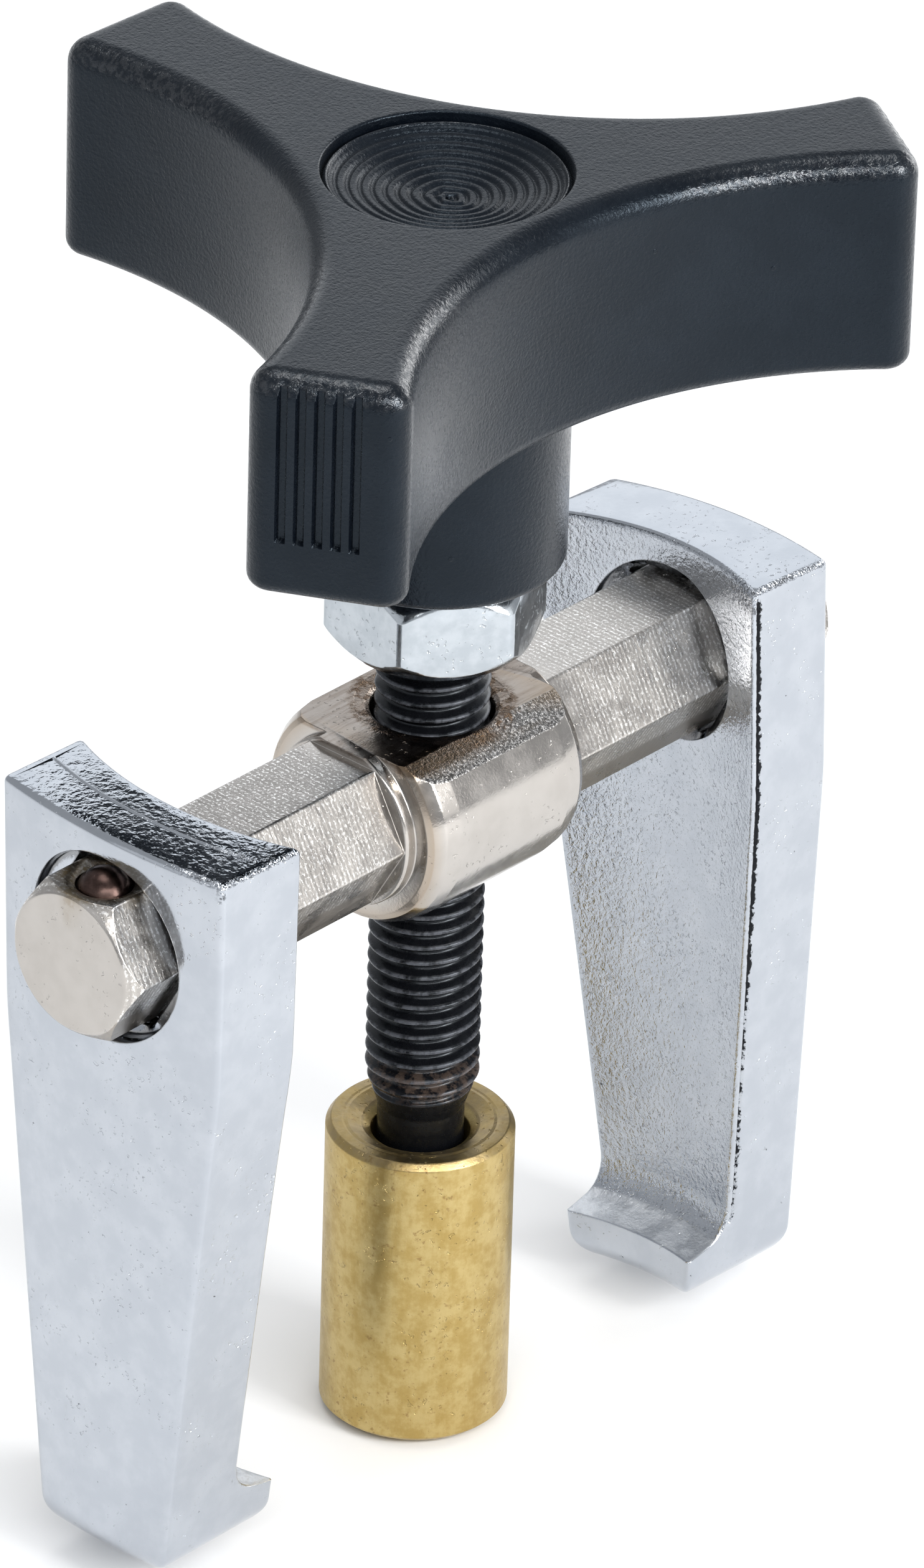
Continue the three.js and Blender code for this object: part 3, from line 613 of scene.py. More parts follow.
def knob_mesh():
    outline = knob_outline(0)
    count = len(outline)
    around = np.arange(count) * TAU / count
    grooves = groove_depths()
    arm_of = np.repeat(np.arange(3), count // 3)
    outward = np.stack([np.cos(KNOB_TURN + arm_of * TAU / 3), np.sin(KNOB_TURN + arm_of * TAU / 3)], 1)

    def ring(plan, height):
        return np.column_stack([plan, np.full(len(plan), height)])

    def grooved(plan, height):
        """A ring whose groove columns stay behind the grooves' floor, which runs out in the top round."""
        if height <= GROOVE_LOW:
            return ring(plan, height)
        reach = (plan * outward).sum(axis=1)
        sunk = np.maximum(reach - (ARM_REACH - GROOVE_DEPTH * grooves), 0) * (grooves > 0)
        return ring(plan - outward * sunk[:, None], height)

    def circle(radius, height):
        return polar(around, radius, height)

    seat = [circle(radius, height) for radius, height in rounded([
        (1, ARM_TOP - CAP_SEAT_DEPTH, 0), (SEAT_RADIUS, ARM_TOP - CAP_SEAT_DEPTH, 0.2),
        (SEAT_RADIUS, ARM_TOP, 0.22), (SEAT_RADIUS + 0.4, ARM_TOP, 0),
    ])]
    arms = [ring(knob_outline(TOP_ROUND + 0.1), ARM_TOP)]
    for i in range(11):
        angle = math.pi / 2 * i / 10
        inset = TOP_ROUND * (1 - math.sin(angle))
        arms.append(grooved(knob_outline(inset), ARM_TOP - TOP_ROUND * (1 - math.cos(angle))))
    for height in (*SIDE_LEVELS, GROOVE_LOW + GROOVE_EDGE, GROOVE_LOW):
        arms.append(grooved(outline, height))
    for i in range(8):
        angle = math.pi / 2 * i / 7
        inset = BOTTOM_ROUND * (1 - math.cos(angle))
        arms.append(ring(knob_outline(inset), ARM_BOTTOM + BOTTOM_ROUND * (1 - math.sin(angle))))
    arms.append(ring(knob_outline(BOTTOM_ROUND + 0.1), ARM_BOTTOM))
    hub = [circle(radius, height) for radius, height in rounded([
        (HUB_RADIUS + 0.75, ARM_BOTTOM, 0), (HUB_RADIUS, ARM_BOTTOM, 0.7), (HUB_RADIUS, HUB_BOTTOM, 0.9),
        (INSERT_RADIUS, HUB_BOTTOM, 0.25), (INSERT_RADIUS, HUB_BOTTOM + INSERT_DEPTH, 0.2),
        (1, HUB_BOTTOM + INSERT_DEPTH, 0),
    ], 6)]
    return stitched([seat, arms, hub])


knob = new_object("star_knob", *knob_mesh())
knob_at = vertex_array(knob)
facing_up = np.array([v.normal[2] for v in knob.data.vertices])
edge = smoothstep(0.1, 0.35, facing_up) * smoothstep(0.985, 0.9, facing_up) * (knob_at[:, 2] > ARM_TOP - 3)
tag(knob, "edge", edge * smoothstep(17, 25, np.hypot(knob_at[:, 0], knob_at[:, 1])))
show(knob, "screw", KNOB, "knob_plastic", "knob_body", angle=38)

CAP_RADIUS = 10.45
CAP_RECESS = 0.85
CAP_DISH = 1.7
CAP_PITCH = 1.02
CAP_RIDGE = 0.26
CAP_GROOVE = 0.2
CAP_LIP = 0.5
CAP_LIP_RISE = 0.24
CAP_STEP = 0.07
CAP_AROUND = 160
CAP_WALL = 4  # points of the profile before it starts across the top


def cap_profile():
    low = ARM_TOP - 3.5
    rim = ARM_TOP - CAP_RECESS
    points = [(0, low), (CAP_RADIUS - 0.1, low), (CAP_RADIUS, low + 0.1), (CAP_RADIUS, rim - 0.25)]
    radius = CAP_RADIUS - 0.05
    while radius > 0:
        away = (CAP_RADIUS - 0.5 - radius) % CAP_PITCH - CAP_PITCH / 2
        dish = CAP_DISH * (1 - (radius / CAP_RADIUS) ** 2)
        lip = CAP_LIP_RISE * math.sin(math.pi * min((CAP_RADIUS - radius) / CAP_LIP, 1))
        points.append((radius, rim - dish + lip - CAP_RIDGE * math.exp(-((away / CAP_GROOVE) ** 2))))
        radius -= CAP_STEP
    points.append((0, points[-1][1]))
    return points


def cap_rings():
    """The turned cap with its ridges a little off round, as they are in the moulding."""
    profile = cap_profile()
    rings = turned(profile, CAP_AROUND)
    angles = np.arange(CAP_AROUND) * TAU / CAP_AROUND
    across = profile[CAP_WALL:]
    radii, heights = np.array(across[::-1]).T
    for ring, (radius, _) in zip(rings[CAP_WALL:], across):
        if radius < CAP_RADIUS - 0.4:
            wave = 0.5 * np.sin(angles - 0.6) + 0.16 * np.sin(2 * angles + 1) + 0.1 * np.sin(5 * angles)
            off_round = radius + (1 - radius / CAP_RADIUS) * wave
            ring[:, 2] = np.interp(np.abs(off_round), radii, heights)
    return rings


cap = new_object("ridged_cap", *loft(cap_rings()))
from_middle = np.hypot(*vertex_array(cap)[:, :2].T)
tag(cap, "edge", smoothstep(CAP_RADIUS - CAP_LIP, CAP_RADIUS - CAP_LIP / 2, from_middle))
show(cap, "screw", CAP, "cap_plastic", "knob_cap", angle=60)

# ---------------- lock nut

nut_low, nut_high = span("lock_nut")
NUT_TURN = math.radians(24.5)
NUT_FLATS = 17
NUT_FACE = 7.8
NUT_BORE = 5.35
NUT_SOFT = 0.12


def nut_mesh():
    angles = hex_angles(NUT_TURN)
    shape = hexagon(angles, NUT_FLATS, 0.9, NUT_TURN)
    low, high = nut_low[2], nut_high[2]

    def ring(radius, height):
        return polar(angles, radius, height)

    past = np.maximum(shape - NUT_FACE, 0)
    edge = NUT_SOFT + past + 0.08
    rings = [ring(NUT_BORE, low + 4), ring(NUT_BORE, low + 1.2), ring(6.5, low + 0.06), ring(6.62, low)]
    rings += [ring(7.2, low), ring(NUT_FACE - NUT_SOFT, low), ring(NUT_FACE, low + NUT_SOFT * 0.3)]
    for t in (0.3, 0.6, 0.9):
        rings.append(ring(NUT_FACE + (shape - NUT_FACE) * t, low + NUT_SOFT * 0.3 + past * t))
    rings.append(ring(shape, low + edge))
    rings += [ring(shape, low + (high - low) * t) for t in (0.35, 0.5, 0.65)]
    rings.append(ring(shape, high - edge))
    for t in (0.9, 0.6, 0.3):
        rings.append(ring(NUT_FACE + (shape - NUT_FACE) * t, high - NUT_SOFT * 0.3 - past * t))
    rings += [ring(NUT_FACE, high - NUT_SOFT * 0.3), ring(NUT_FACE - NUT_SOFT, high), ring(6.6, high)]
    rings.append(ring(NUT_BORE, high - 1.2))
    return np.concatenate(rings), quads(len(rings), len(angles), closed=True)


nut = new_object("lock_nut_zinc", *nut_mesh())
show(nut, "screw", ZINC, "zinc_plate", "lock_nut", angle=24)

# ---------------- spindle

spindle_low, spindle_high = span("spindle")
PITCH = 1.5
CREST = 5.0
ROOT = 4.12
NECK = 3.8
NECK_TOP = 30.2
THREAD_START = 28.6  # the helix begins below the neck's top, drawn in to the neck's own radius
THREAD_LOW = 33.3
THREAD_SIZE = 72
THREAD_ROWS = 12


def thread_radius(phase):
    """A V thread with a narrow flat crest and a rounded root."""
    away = np.abs((phase % 1) - 0.5) * 2
    crest = np.clip((away - 0.14) / 0.72, 0, 1)
    return CREST - (CREST - ROOT) * (1 - (1 - crest) ** 1.15)


def envelope(height, top):
    """The largest radius at a height, which forms the neck and the tapered ends of the thread."""
    low = np.interp(height, [NECK_TOP, NECK_TOP + 0.8, THREAD_LOW - 0.4, THREAD_LOW + 0.5],
                    [NECK, ROOT - 0.05, 4.72, CREST + 0.1])
    high = np.interp(height, [top - 1.0, top - 0.1], [CREST + 0.1, ROOT - 0.1])
    return np.minimum(low, high)


def spindle_mesh():
    top = spindle_high[2]
    tip = spindle_low[2]
    steps = int((top - THREAD_START) / PITCH) * THREAD_ROWS
    angles = np.arange(THREAD_SIZE) * TAU / THREAD_SIZE
    vertices = []

    def vertex(radius, angle, height):
        vertices.append((radius * math.cos(angle), radius * math.sin(angle), height))
        return len(vertices) - 1

    rows = []
    for i in range(steps + THREAD_ROWS + 1):
        row = []
        for j in range(THREAD_SIZE):
            if i > steps and j > 0:
                break
            height = THREAD_START + PITCH * (i / THREAD_ROWS + j / THREAD_SIZE)
            radius = min(thread_radius(i / THREAD_ROWS), envelope(height, top))
            row.append(vertex(radius, angles[j], height))
        rows.append(row)

    def at(i, j):
        return rows[i + THREAD_ROWS][0] if j == THREAD_SIZE else rows[i][j]

    faces = [
        (at(i, j), at(i, j + 1), at(i + 1, j + 1), at(i + 1, j))
        for i in range(steps) for j in range(THREAD_SIZE)
    ]
    low_edge = [rows[0][j] for j in range(THREAD_SIZE)] + [rows[i][0] for i in range(THREAD_ROWS, 0, -1)]
    high_edge = [rows[steps][j] for j in range(THREAD_SIZE)]
    high_edge += [rows[i][0] for i in range(steps + THREAD_ROWS, steps, -1)]
    below = rounded([(0, tip, 0), (2.6, tip + 0.5, 0.8), (NECK, tip + 2, 0.8), (NECK, 27.5, 0)])
    rings = [[vertex(radius, angle, height) for angle in angles] for radius, height in below[1:]]
    rings.append([vertex(NECK, angle, THREAD_START - 0.6) for angle in angles])
    bottom = vertex(0, 0, tip)
    size = THREAD_SIZE
    for j in range(size):
        faces.append((bottom, rings[0][(j + 1) % size], rings[0][j]))
    for one, two in zip(rings, rings[1:]):
        for j in range(size):
            k = (j + 1) % size
            faces.append((one[j], one[k], two[k], two[j]))
    last = rings[-1]
    for j in range(size - 1):
        faces.append((last[j], last[j + 1], low_edge[j + 1], low_edge[j]))
    faces.append((last[size - 1], last[0], low_edge[0]))
    seam = [low_edge[size - 1]] + low_edge[size:] + [low_edge[0]]
    for a, b in zip(seam, seam[1:]):
        faces.append((last[size - 1], b, a))
    centre = vertex(0, 0, top)
    loop = high_edge + [high_edge[0]]
    for a, b in zip(loop, loop[1:]):
        faces.append((centre, a, b))
    return vertices, faces


spindle = new_object("threaded_spindle", *spindle_mesh())
tag(spindle, "crest", np.hypot(*vertex_array(spindle)[:, :2].T) > CREST - 0.1)
show(spindle, "screw", OXIDE, "black_oxide", "spindle", angle=80)

# ---------------- pressure sleeve

SLEEVE_RADIUS = 8.3
SLEEVE_BORE = 4.3
SLEEVE_FLOOR = 3.6


sleeve_profile = rounded([
    (0, 0.02, 0), (SLEEVE_RADIUS - 0.45, 0.02, 0.12), (SLEEVE_RADIUS, 0.45, 0.15),
    (SLEEVE_RADIUS, SLEEVE_TOP - 0.6, 0.3), (SLEEVE_RADIUS - 0.5, SLEEVE_TOP, 0.25),
    (6.9, SLEEVE_TOP, 0.1), (6.7, SLEEVE_TOP - 0.06, 0.1), (6.4, SLEEVE_TOP, 0.15),
    (5.2, SLEEVE_TOP - 0.42, 0.5), (SLEEVE_BORE, SLEEVE_TOP - 1.1, 0.3),
    (SLEEVE_BORE, SLEEVE_FLOOR, 0.2), (0, SLEEVE_FLOOR, 0),
])

sleeve = new_object("brass_sleeve", *loft(turned(sleeve_profile, 144)))
show(sleeve, "sleeve", BRASS, "brass", "pressure_sleeve", angle=24)

# ---------------- cross-bar

BAR_REACH = span("cross_bar")[1][0]
BARREL_X = -0.45
BARREL_RADIUS = 10.35
BARREL_HALF = 9.75
COLLAR_RADIUS = 7.7
COLLAR_WIDTH = 1.2
END_RADIUS = 6.4
HEX_FIRST = 0.0  # one corner of the hexagon points straight along y
BALL_X = 40.5
BALL_RADIUS = 2.5
BALL_TOP = HEX_TOP + 1
SPRING_FLOOR = 59.4


def bar_blank():
    """The hexagon with its chamfered ends, and the turned barrel with a collar on both sides."""
    angles = hex_angles(HEX_FIRST, 38)
    shape = hexagon(angles, BAR_FLATS, 0.3, HEX_FIRST)
    past = shape - END_RADIUS
    # half of the bar as (radius, place, centre that the place counts from), from the end inwards
    half = [(3.0, BAR_REACH, 0), (END_RADIUS - 0.15, BAR_REACH, 0), (END_RADIUS, BAR_REACH - 0.08, 0)]
    half += [(END_RADIUS + past * t, BAR_REACH - 0.08 - past * t * 1.05, 0) for t in (0.35, 0.7, 1.0)]
    half += [(shape, x, 0) for x in (BAR_REACH - 1.6, *np.linspace(40, 14, 14))]
    stem = BARREL_HALF + COLLAR_WIDTH
    half.append((shape, stem, BARREL_X))
    for radius, x in rounded([
        (7.0, stem, 0), (COLLAR_RADIUS, stem, 0.3), (COLLAR_RADIUS, BARREL_HALF, 0.15),
        (8.95, BARREL_HALF, 0.2), (9.5, BARREL_HALF - 0.35, 0.3), (10.1, BARREL_HALF - 1.3, 0.8),
        (BARREL_RADIUS, BARREL_HALF - 3, 1.5), (BARREL_RADIUS, 0, 0),
    ], 5):
        half.append((np.maximum(radius, shape) if radius < COLLAR_RADIUS - 0.1 else radius, x, BARREL_X))
    rings = []
    for side, part in ((-1, half), (1, half[-2::-1])):
        for radius, x, centre in part:
            rings.append(polar(angles, radius, centre + side * x, lying=True) + np.array([0, 0, BAR_Z]))
    return loft(rings)


def slab(half_x, half_y, low, high):
    corners = [(x, y, z) for x in (-half_x, half_x) for y in (-half_y, half_y) for z in (low, high)]
    faces = [(0, 1, 3, 2), (4, 6, 7, 5), (0, 4, 5, 1), (2, 3, 7, 6), (0, 2, 6, 4), (1, 5, 7, 3)]
    return corners, faces


bar = new_object("hex_cross_bar", *bar_blank())
top_cut = new_object("cut_flat", *slab(20, 15, FLAT_Z, 90))
tilt = Matrix.Translation((0, -GROUND_Y * MM, FLAT_Z * MM)) @ Matrix.Rotation(GROUND_TILT, 4, "X")
bevel_cut = new_object("cut_bevel", *slab(20, 10, 0, 10), place=tilt)
bore = rounded([
    (0, 45, 0), (5.4, 45, 0), (5.4, FLAT_Z - 0.5, 0.2), (5.85, FLAT_Z - 0.16, 0.2),
    (6.75, FLAT_Z - 0.04, 0.3), (7.1, FLAT_Z + 0.3, 0), (0, FLAT_Z + 0.3, 0),
])
bore_cut = new_object("cut_bore", *loft(turned(bore, 96)))
cutters = [top_cut, bevel_cut, bore_cut]
# the ball's hole is staked: it narrows just above the ball's middle and flares out at the top
hole = [(0, SPRING_FLOOR), (2.7, SPRING_FLOOR), (2.7, HEX_TOP - 0.8), (2.5, HEX_TOP - 0.5),
        (2.95, HEX_TOP - 0.2), (3.6, HEX_TOP + 0.02), (3.7, 75), (0, 75)]
for side in (-1, 1):
    cutters.append(new_object("cut_ball", *loft(turned(hole, 64, (side * BALL_X, 0, 0)))))
cut(bar, *cutters)
x, y, z = vertex_array(bar).T
from_barrel = np.abs(x - BARREL_X)
tag(bar, "milled", (from_barrel > 11) & (np.abs(x) < BAR_REACH - 0.1))
tag(bar, "socket", smoothstep(4.6, 3.9, np.hypot(np.abs(x) - BALL_X, y)) * (z > HEX_TOP - 1))
from_edge = np.abs(from_barrel - BARREL_HALF + 0.2)
tag(bar, "rim", smoothstep(0.35, 0.1, from_edge) * (np.hypot(y, z - BAR_Z) > 8.5))
show(bar, "bar", NICKEL, "nickel_plate", "cross_bar", angle=22)

half_turn = np.linspace(-math.pi / 2, math.pi / 2, 33)
half_circle = BALL_RADIUS * np.column_stack([np.cos(half_turn), np.sin(half_turn)])
for side, name in ((-1, "left"), (1, "right")):
    centre = (side * BALL_X, 0, BALL_TOP - BALL_RADIUS)
    ball = new_object("stop_ball_" + name, *loft(turned(half_circle, 48, centre)))
    show(ball, name + "_ball", BALL, "ball_steel", "detent_ball_" + name, angle=60)

# ---------------- jaws

JAW_INNER_X = -4
JAW_INNER_RADIUS = 31.2
JAW_OUTER_X = 4.3
JAW_OUTER_RADIUS = 62
JAW_THICK = JAW_OUTER_X - JAW_INNER_X
JAW_TOP = 10.5
TOP_HALF_WIDTH = 12.75
FOOT_HALF_WIDTH = 6.95
PARTING_PLACE = 0.42
PARTING_HEIGHT = 0.14
PARTING_HALF = 0.16
JAW_BOTTOM = -60.6
FOOT_ROUND = 2.8
HEEL_ROUND = 3.2
NOSE_ROUND = 2.3
LIP_X = -8.8
LIP_TOP = -56
LIP_ROOT = -54.9
LIP_FILLET = 3.4
SIDE_EDGE = 0.5
SEAM_HALF = 0.22
SEAM_DEPTH = 0.22
TOP_EDGE = 0.55
FLAT_STEPS = 34
SIDE_STEPS = 10
EDGE_STEPS = 5


def jaw_half_width(z):
    shape = np.interp(z, [JAW_BOTTOM, -15.5, -13.2, -11.5, -9.8, -7.5, JAW_TOP],
                      [FOOT_HALF_WIDTH, 11.78, 12.05, 12.22, 12.36, 12.42, TOP_HALF_WIDTH])
    low = np.clip((JAW_BOTTOM + FOOT_ROUND - z) / FOOT_ROUND, 0, 1)
    return shape - FOOT_ROUND * (1 - np.sqrt(1 - low**2)) * 0.98


def jaw_inner_radius(z):
    """Plan radius of the inner side: the face, the fillet, the shelf, the nose and its rounded foot."""
    nose = JAW_INNER_RADIUS + LIP_X - JAW_INNER_X
    slope = (LIP_ROOT - LIP_TOP) / (JAW_INNER_RADIUS - nose)
    angle = math.atan(slope)
    reach = LIP_FILLET * math.tan(math.pi / 4 - angle / 2)
    fillet_r, fillet_z = JAW_INNER_RADIUS - LIP_FILLET, LIP_ROOT + reach
    if z >= fillet_z:
        return JAW_INNER_RADIUS
    shelf_end = fillet_z - LIP_FILLET * math.cos(angle)
    if z > shelf_end:
        return fillet_r + math.sqrt(max(LIP_FILLET**2 - (fillet_z - z) ** 2, 0))
    if z > LIP_TOP:
        return nose + (z - LIP_TOP) / slope
    low = min(max((JAW_BOTTOM + NOSE_ROUND - z) / NOSE_ROUND, 0), 1)
    return nose + NOSE_ROUND * (1 - math.sqrt(1 - low**2))


def jaw_levels():
    """Heights of the rings: close together round the foot, the lip, the fillet and the top's edge."""
    low = [JAW_BOTTOM + HEEL_ROUND * (1 - math.cos(a)) for a in np.linspace(0, math.pi / 2, 12)]
    lip = [LIP_TOP + rise for rise in (-1.1, -0.65, -0.2, -0.05, 0, 0.05, 0.2, 0.4, 0.6, 0.8)]
    fillet = [LIP_ROOT + 3.2 - 3.3 * math.cos(a) for a in np.linspace(0.05, math.pi / 2, 12)]
    body = list(np.linspace(-51, -8, 60)) + list(np.linspace(-7.5, JAW_TOP - TOP_EDGE, 26))
    edge = [JAW_TOP - TOP_EDGE * (1 - math.sin(a)) for a in np.linspace(0, math.pi / 2, 6)[1:]]
    return sorted(low + lip + fillet + body + edge)


def parting_rows(height):
    """Rows across the top, from the inner side: (share of the way, lift), with the parting line's ridge."""
    rows = [(t, 0.0) for t in (0.1, 0.2, 0.32)]
    for i in range(-4, 5):
        lift = height * (1 - (abs(i) / 4) ** 1.5)
        rows.append((PARTING_PLACE + PARTING_HALF * i / 4 / JAW_THICK, lift))
    return rows + [(t, 0.0) for t in (0.52, 0.68, 0.84)]


def side_x(face_x, face_radius, radius, y):
    """x at y on an arc that has the centre of a jaw's face but its own radius."""
    return face_x - face_radius + np.sqrt(radius**2 - y**2)


def jaw_ring(z, seam_depth, top_shape):
    """The outline of a jaw at one height: inner side, side at +y, outer side, side at -y."""
    top_crown, top_lean, top_skew = top_shape
    width = float(jaw_half_width(z))
    inner = jaw_inner_radius(z)
    heel = min(max((JAW_BOTTOM + HEEL_ROUND - z) / HEEL_ROUND, 0), 1)
    outer = JAW_OUTER_RADIUS - HEEL_ROUND * (1 - math.sqrt(1 - heel**2)) * 0.97
    shrink = 0.0
    if z > JAW_TOP - TOP_EDGE:
        shrink = TOP_EDGE * (1 - math.sqrt(max(1 - ((z - JAW_TOP + TOP_EDGE) / TOP_EDGE) ** 2, 0)))
    width -= shrink

    def inner_x(y):
        return side_x(JAW_INNER_X, JAW_INNER_RADIUS, inner, y) + shrink

    def outer_x(y):
        return side_x(JAW_OUTER_X, JAW_OUTER_RADIUS, outer, y) - shrink

    # half of the outline as (y, distance behind the inner side)
    thick = outer_x(width) - inner_x(width)
    edge = min(SIDE_EDGE, thick / 3)
    flat = [(width - edge) * (2 * i / FLAT_STEPS - 1) for i in range(FLAT_STEPS + 1)]
    half = [(y, 0.0) for y in flat]
    corner = [math.pi / 2 * i / EDGE_STEPS for i in range(1, EDGE_STEPS)]
    half += [(width - edge + edge * math.sin(a), edge - edge * math.cos(a)) for a in corner]
    depth = seam_depth * float(smoothstep(-54.5, -53.5, z) * smoothstep(JAW_TOP - 0.6, JAW_TOP - 1.6, z))
    half += [(width, edge), (width - depth, edge + SEAM_HALF), (width, edge + 2 * SEAM_HALF)]
    half += [(width, edge + (thick - 2 * edge) * i / SIDE_STEPS) for i in range(1, SIDE_STEPS + 1)]
    half += [(width - edge + edge * math.cos(a), thick - edge + edge * math.sin(a)) for a in corner]
    loop = half + [(-y, thick) for y in flat]
    loop += [(-y, s) for y, s in reversed(half[FLAT_STEPS + 1:])]
    crown = top_crown * smoothstep(-6, JAW_TOP, z)
    lean = top_lean * smoothstep(-2, JAW_TOP - TOP_EDGE, z)
    skew = top_skew * smoothstep(-6, JAW_TOP, z)
    ring = []
    for y, s in loop:
        x = inner_x(y) + s if s < thick / 2 else outer_x(y) - (thick - s)
        over = y / TOP_HALF_WIDTH
        ring.append((x, y, z + crown * (1 - over**2) - lean * (s / thick) + skew * over))
    return ring


def jaw_blank(parting, seam_depth, top_shape):
    """A jaw without its hole; top_shape is how far its top bulges, leans outwards and rises towards +y."""
    rings = np.array([jaw_ring(z, seam_depth, top_shape) for z in jaw_levels()])
    count, size = rings.shape[:2]
    vertices = list(rings.reshape(-1, 3))
    faces = quads(count, size)
    # the top and the sole are strips between the inner and the outer side
    far = FLAT_STEPS + 2 * (EDGE_STEPS - 1) + SIDE_STEPS + 3  # the last point before the outer side
    for i, base in ((0, 0), (count - 1, (count - 1) * size)):
        inner_row = [base + j for j in range(FLAT_STEPS + 1)]
        outer_row = [base + far + FLAT_STEPS + 1 - j for j in range(FLAT_STEPS + 1)]
        inner_side, outer_side = (np.array([vertices[k] for k in row]) for row in (inner_row, outer_row))
        rows = [inner_row]
        for t, lift in parting_rows(parting) if i else []:
            start = len(vertices)
            vertices += list(inner_side * (1 - t) + outer_side * t + np.array([0, 0, lift]))
            rows.append([start + j for j in range(FLAT_STEPS + 1)])
        rows.append(outer_row)
        for one, two in zip(rows, rows[1:]):
            for j in range(FLAT_STEPS):
                faces.append((one[j], one[j + 1], two[j + 1], two[j]))
        right = [base + k for k in range(FLAT_STEPS, far + 2)]
        faces.append(tuple(right + [row[-1] for row in rows[-2:0:-1]]))
        left = [base + k for k in range(far + FLAT_STEPS + 1, size)] + [base]
        faces.append(tuple(left + [row[0] for row in rows[1:-1]]))
    return vertices, faces


def jaw_cutter():
    """The hexagon hole with its outer counterbore and its inner countersink, as one solid along X."""
    angles = hex_angles(HEX_FIRST, 30)
    shape = hexagon(angles, 14, 0.5, HEX_FIRST)
    rings = []
    for radius, x in (
        (8.35, -20), (8.35, JAW_INNER_X - 0.1), (np.maximum(7.8, shape), JAW_INNER_X + 0.45),
        (shape, JAW_INNER_X + 1.0), (shape, 1.9), (shape + 0.12, 2.25), (8.15, 2.4), (8.4, 2.6),
        (8.4, 3.4), (8.45, 3.75), (8.75, 4.35), (8.75, 20),
    ):
        rings.append(polar(angles, radius, x, lying=True))
    return loft(rings)


def turn(x, y, z, order):
    """Rotation as three.js gives it, from degrees in its own order."""
    spin = {axis: Matrix.Rotation(math.radians(angle), 4, axis) for axis, angle in zip("XYZ", (x, y, z))}
    return spin[order[0]] @ spin[order[1]] @ spin[order[2]]


def jaw(name, body, node, middle_x, tilt, parting, top_skin, seam_depth, top_shape, near_end):
    obj = new_object(name, *jaw_blank(parting, seam_depth, top_shape))
    cut(obj, new_object("cut_" + name, *jaw_cutter()))
    x, y, z = vertex_array(obj).T
    normals = np.array([v.normal for v in obj.data.vertices])
    behind = x - side_x(JAW_INNER_X, JAW_INNER_RADIUS, JAW_INNER_RADIUS, y)
    hole = np.hypot(y, z) < 9
    face = smoothstep(0.5, 0.85, -normals[:, 0]) * (z > -54)
    top = smoothstep(0.6, 0.9, normals[:, 2]) * (z > 5)
    fillet = smoothstep(-50.5, -52.5, z) * (z > -55.1) * (normals[:, 0] < -0.05)
    shelf = smoothstep(0.75, 0.9, normals[:, 2]) * (z < -50)
    tag(obj, "shelf", shelf)
    off_line = smoothstep(0.01, 0.035, np.abs(behind / JAW_THICK - PARTING_PLACE)) if parting else 1.0
    tag(obj, "skin", np.where(hole, 0, np.maximum(top * top_skin * off_line, fillet * 0.8)))
    cast = np.maximum(np.maximum(face, fillet), shelf)
    tag(obj, "cast", np.where(hole & (normals[:, 0] > -0.5), 0.1, cast))
    from_seam = np.abs(behind - SIDE_EDGE - SEAM_HALF)
    on_side = (np.abs(y) > jaw_half_width(z) - 0.3) & (z > -53.8) & (z < JAW_TOP - 1.2)
    seam = np.where(from_seam < 0.05, 1.0, np.where(from_seam < SEAM_HALF + 0.05, 0.55, 0.0))
    fading = 0.5 + 0.5 * smoothstep(-38, -20, z)
    tag(obj, "seam", seam * on_side * fading * (seam_depth > SEAM_DEPTH / 2))
    on_edge = smoothstep(0.985, 0.93, np.abs(normals).max(axis=1))
    above = (z > JAW_TOP - 2) & ~hole
    tag(obj, "broken", on_edge * above * smoothstep(6, 11, y * near_end))
    obj.data.transform(Matrix.Translation((middle_x * MM, 0, BAR_Z * MM)) @ tilt)
    show(obj, body, CHROME, "jaw_chrome", node, angle=34)


jaw("chrome_jaw_left", "left_jaw", "jaw_left", middle_x=-36.6, tilt=turn(-0.6, 0, 180, "XYZ"),
    parting=PARTING_HEIGHT, top_skin=1.0, seam_depth=0.04, top_shape=(0.15, -0.2, -0.37), near_end=1)
jaw("chrome_jaw_right", "right_jaw", "jaw_right", middle_x=34.6, tilt=turn(-3.9, 0.8, -1, "ZXY"),
    parting=0, top_skin=0.15, seam_depth=SEAM_DEPTH, top_shape=(0.4, 0.2, 0), near_end=-1)

# ---------------- hidden CAD nodes that stay

for node in ("knob_insert", "snap_ring", "detent_spring_left", "detent_spring_right"):
    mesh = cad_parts[node].data
    mesh.materials.clear()
    mesh.materials.append(STEEL)

# ---------------- floor, light and camera

FLOOR_HALF = 3000
corners = [(x * FLOOR_HALF, y * FLOOR_HALF, 0) for x, y in ((-1, -1), (1, -1), (1, 1), (-1, 1))]
floor = new_object("studio_floor", corners, [(0, 1, 2, 3)])
floor.location = (0, 0, -0.0006)
paper = bpy.data.materials.new("studio_floor")
paper.use_nodes = True
paper_sockets = paper.node_tree.nodes["Principled BSDF"].inputs
paper_sockets["Base Color"].default_value = (0.93, 0.935, 0.94, 1)
paper_sockets["Roughness"].default_value = 0.6
paper_sockets["Specular IOR Level"].default_value = 0.2
floor.data.materials.append(paper)


def area_light(name, place, aim, size, power, color=(1, 1, 1)):
    data = bpy.data.lights.new(name, "AREA")
    data.shape = "RECTANGLE"
    data.size, data.size_y = size
    data.energy = power
    data.color = color
    obj = bpy.data.objects.new(name, data)
    bpy.context.scene.collection.objects.link(obj)
    obj.location = place
    obj.rotation_euler = (Vector(place) - Vector(aim)).to_track_quat("Z", "Y").to_euler()
    return obj


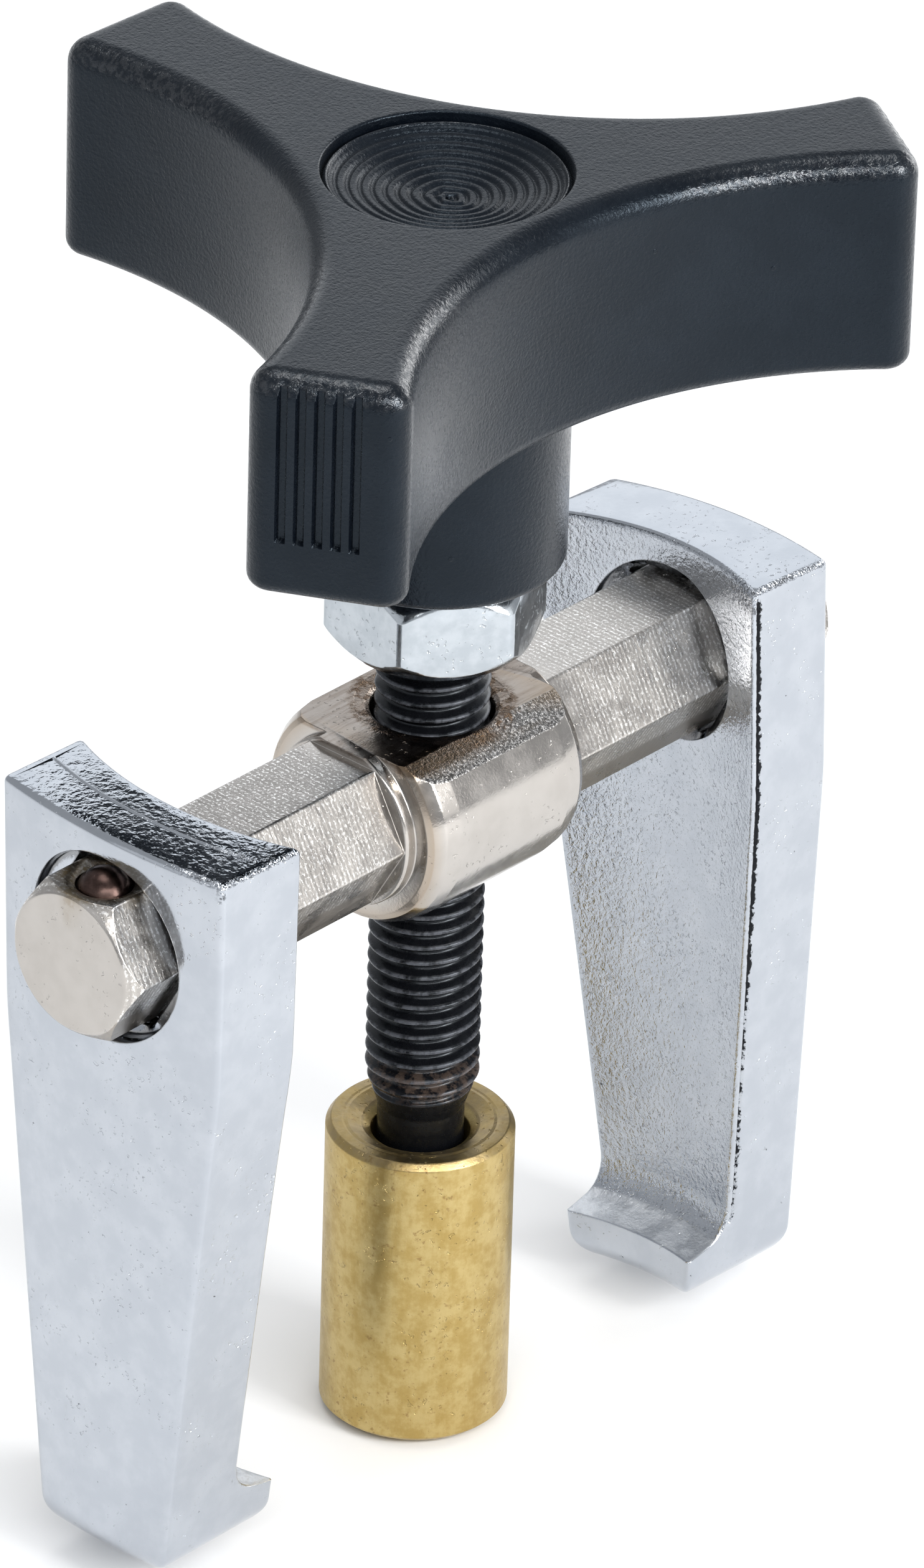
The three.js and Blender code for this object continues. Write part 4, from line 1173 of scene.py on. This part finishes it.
MIDDLE = (0, 0, 0.06)
area_light("key_strip", (-0.42, -0.60, 0.70), MIDDLE, (0.95, 0.10), 4.4, (1.0, 0.99, 0.975))
area_light("front_softbox", (0.08, -0.92, 0.52), MIDDLE, (0.34, 0.40), 7.5, (1.0, 0.99, 0.98))
area_light("top_softbox", (0.0, 0.10, 1.05), MIDDLE, (0.5, 0.5), 2.7, (1.0, 0.985, 0.965))
area_light("left_softbox", (-1.1, 0.25, 0.55), MIDDLE, (0.9, 0.9), 0.8, (0.96, 0.98, 1.0))
area_light("right_softbox", (0.45, -1.15, 0.45), MIDDLE, (0.8, 0.8), 1.6, (1.0, 0.99, 0.97))
area_light("side_softbox", (0.80, -0.02, 0.26), (0.2, 0, 0), (0.5, 0.4), 2.0, (1.0, 0.99, 0.98))
area_light("back_softbox", (0.85, 0.75, 0.55), MIDDLE, (1.0, 0.6), 1.6, (0.94, 0.97, 1.0))

world = bpy.data.worlds.new("studio")
bpy.context.scene.world = world
world.use_nodes = True
world_nodes, world_links = world.node_tree.nodes, world.node_tree.links
direction = world_nodes.new("ShaderNodeTexCoord").outputs["Generated"]
split = world_nodes.new("ShaderNodeSeparateXYZ")
world_links.new(direction, split.inputs[0])
fade = world_nodes.new("ShaderNodeValToRGB")
fade.color_ramp.elements[0].position = 0.45
fade.color_ramp.elements[0].color = (0.84, 0.86, 0.89, 1)
fade.color_ramp.elements[1].position = 1.0
fade.color_ramp.elements[1].color = (0.78, 0.80, 0.83, 1)
lift = world_nodes.new("ShaderNodeMath")
lift.operation = "MULTIPLY_ADD"
lift.inputs[1].default_value = 0.5
lift.inputs[2].default_value = 0.5
world_links.new(split.outputs[2], lift.inputs[0])
world_links.new(lift.outputs[0], fade.inputs[0])
world_links.new(fade.outputs[0], world_nodes["Background"].inputs["Color"])
world_nodes["Background"].inputs["Strength"].default_value = 0.60

# the camera that was fitted to the photo: where it looks from and how far it is from the bar's middle
AZIMUTH, ELEVATION, ROLL = (math.radians(v) for v in (-48.516, 29.944, 1.709))
CAMERA_AWAY = 1118.748
CAMERA_RIGHT = 2.718
CAMERA_DOWN = 0.81
camera_data = bpy.data.cameras.new("camera")
camera_data.lens = 299.53
camera_data.sensor_width = 36
camera_data.clip_start = 0.05
camera_data.clip_end = 20
camera = bpy.data.objects.new("camera", camera_data)
bpy.context.scene.collection.objects.link(camera)
right = Vector((math.cos(AZIMUTH), math.sin(AZIMUTH), 0))
level = Vector((math.sin(AZIMUTH), -math.cos(AZIMUTH), 0))
back = level * math.cos(ELEVATION) + Vector((0, 0, math.sin(ELEVATION)))
up = back.cross(right)
right, up = right * math.cos(ROLL) + up * math.sin(ROLL), up * math.cos(ROLL) - right * math.sin(ROLL)
seat = (back * CAMERA_AWAY + right * CAMERA_RIGHT - up * CAMERA_DOWN + Vector((0, 0, BAR_Z))) * MM
camera.matrix_world = Matrix.Translation(seat) @ Matrix((right, up, back)).transposed().to_4x4()
bpy.context.scene.camera = camera
bpy.context.scene.view_settings.view_transform = "Standard"
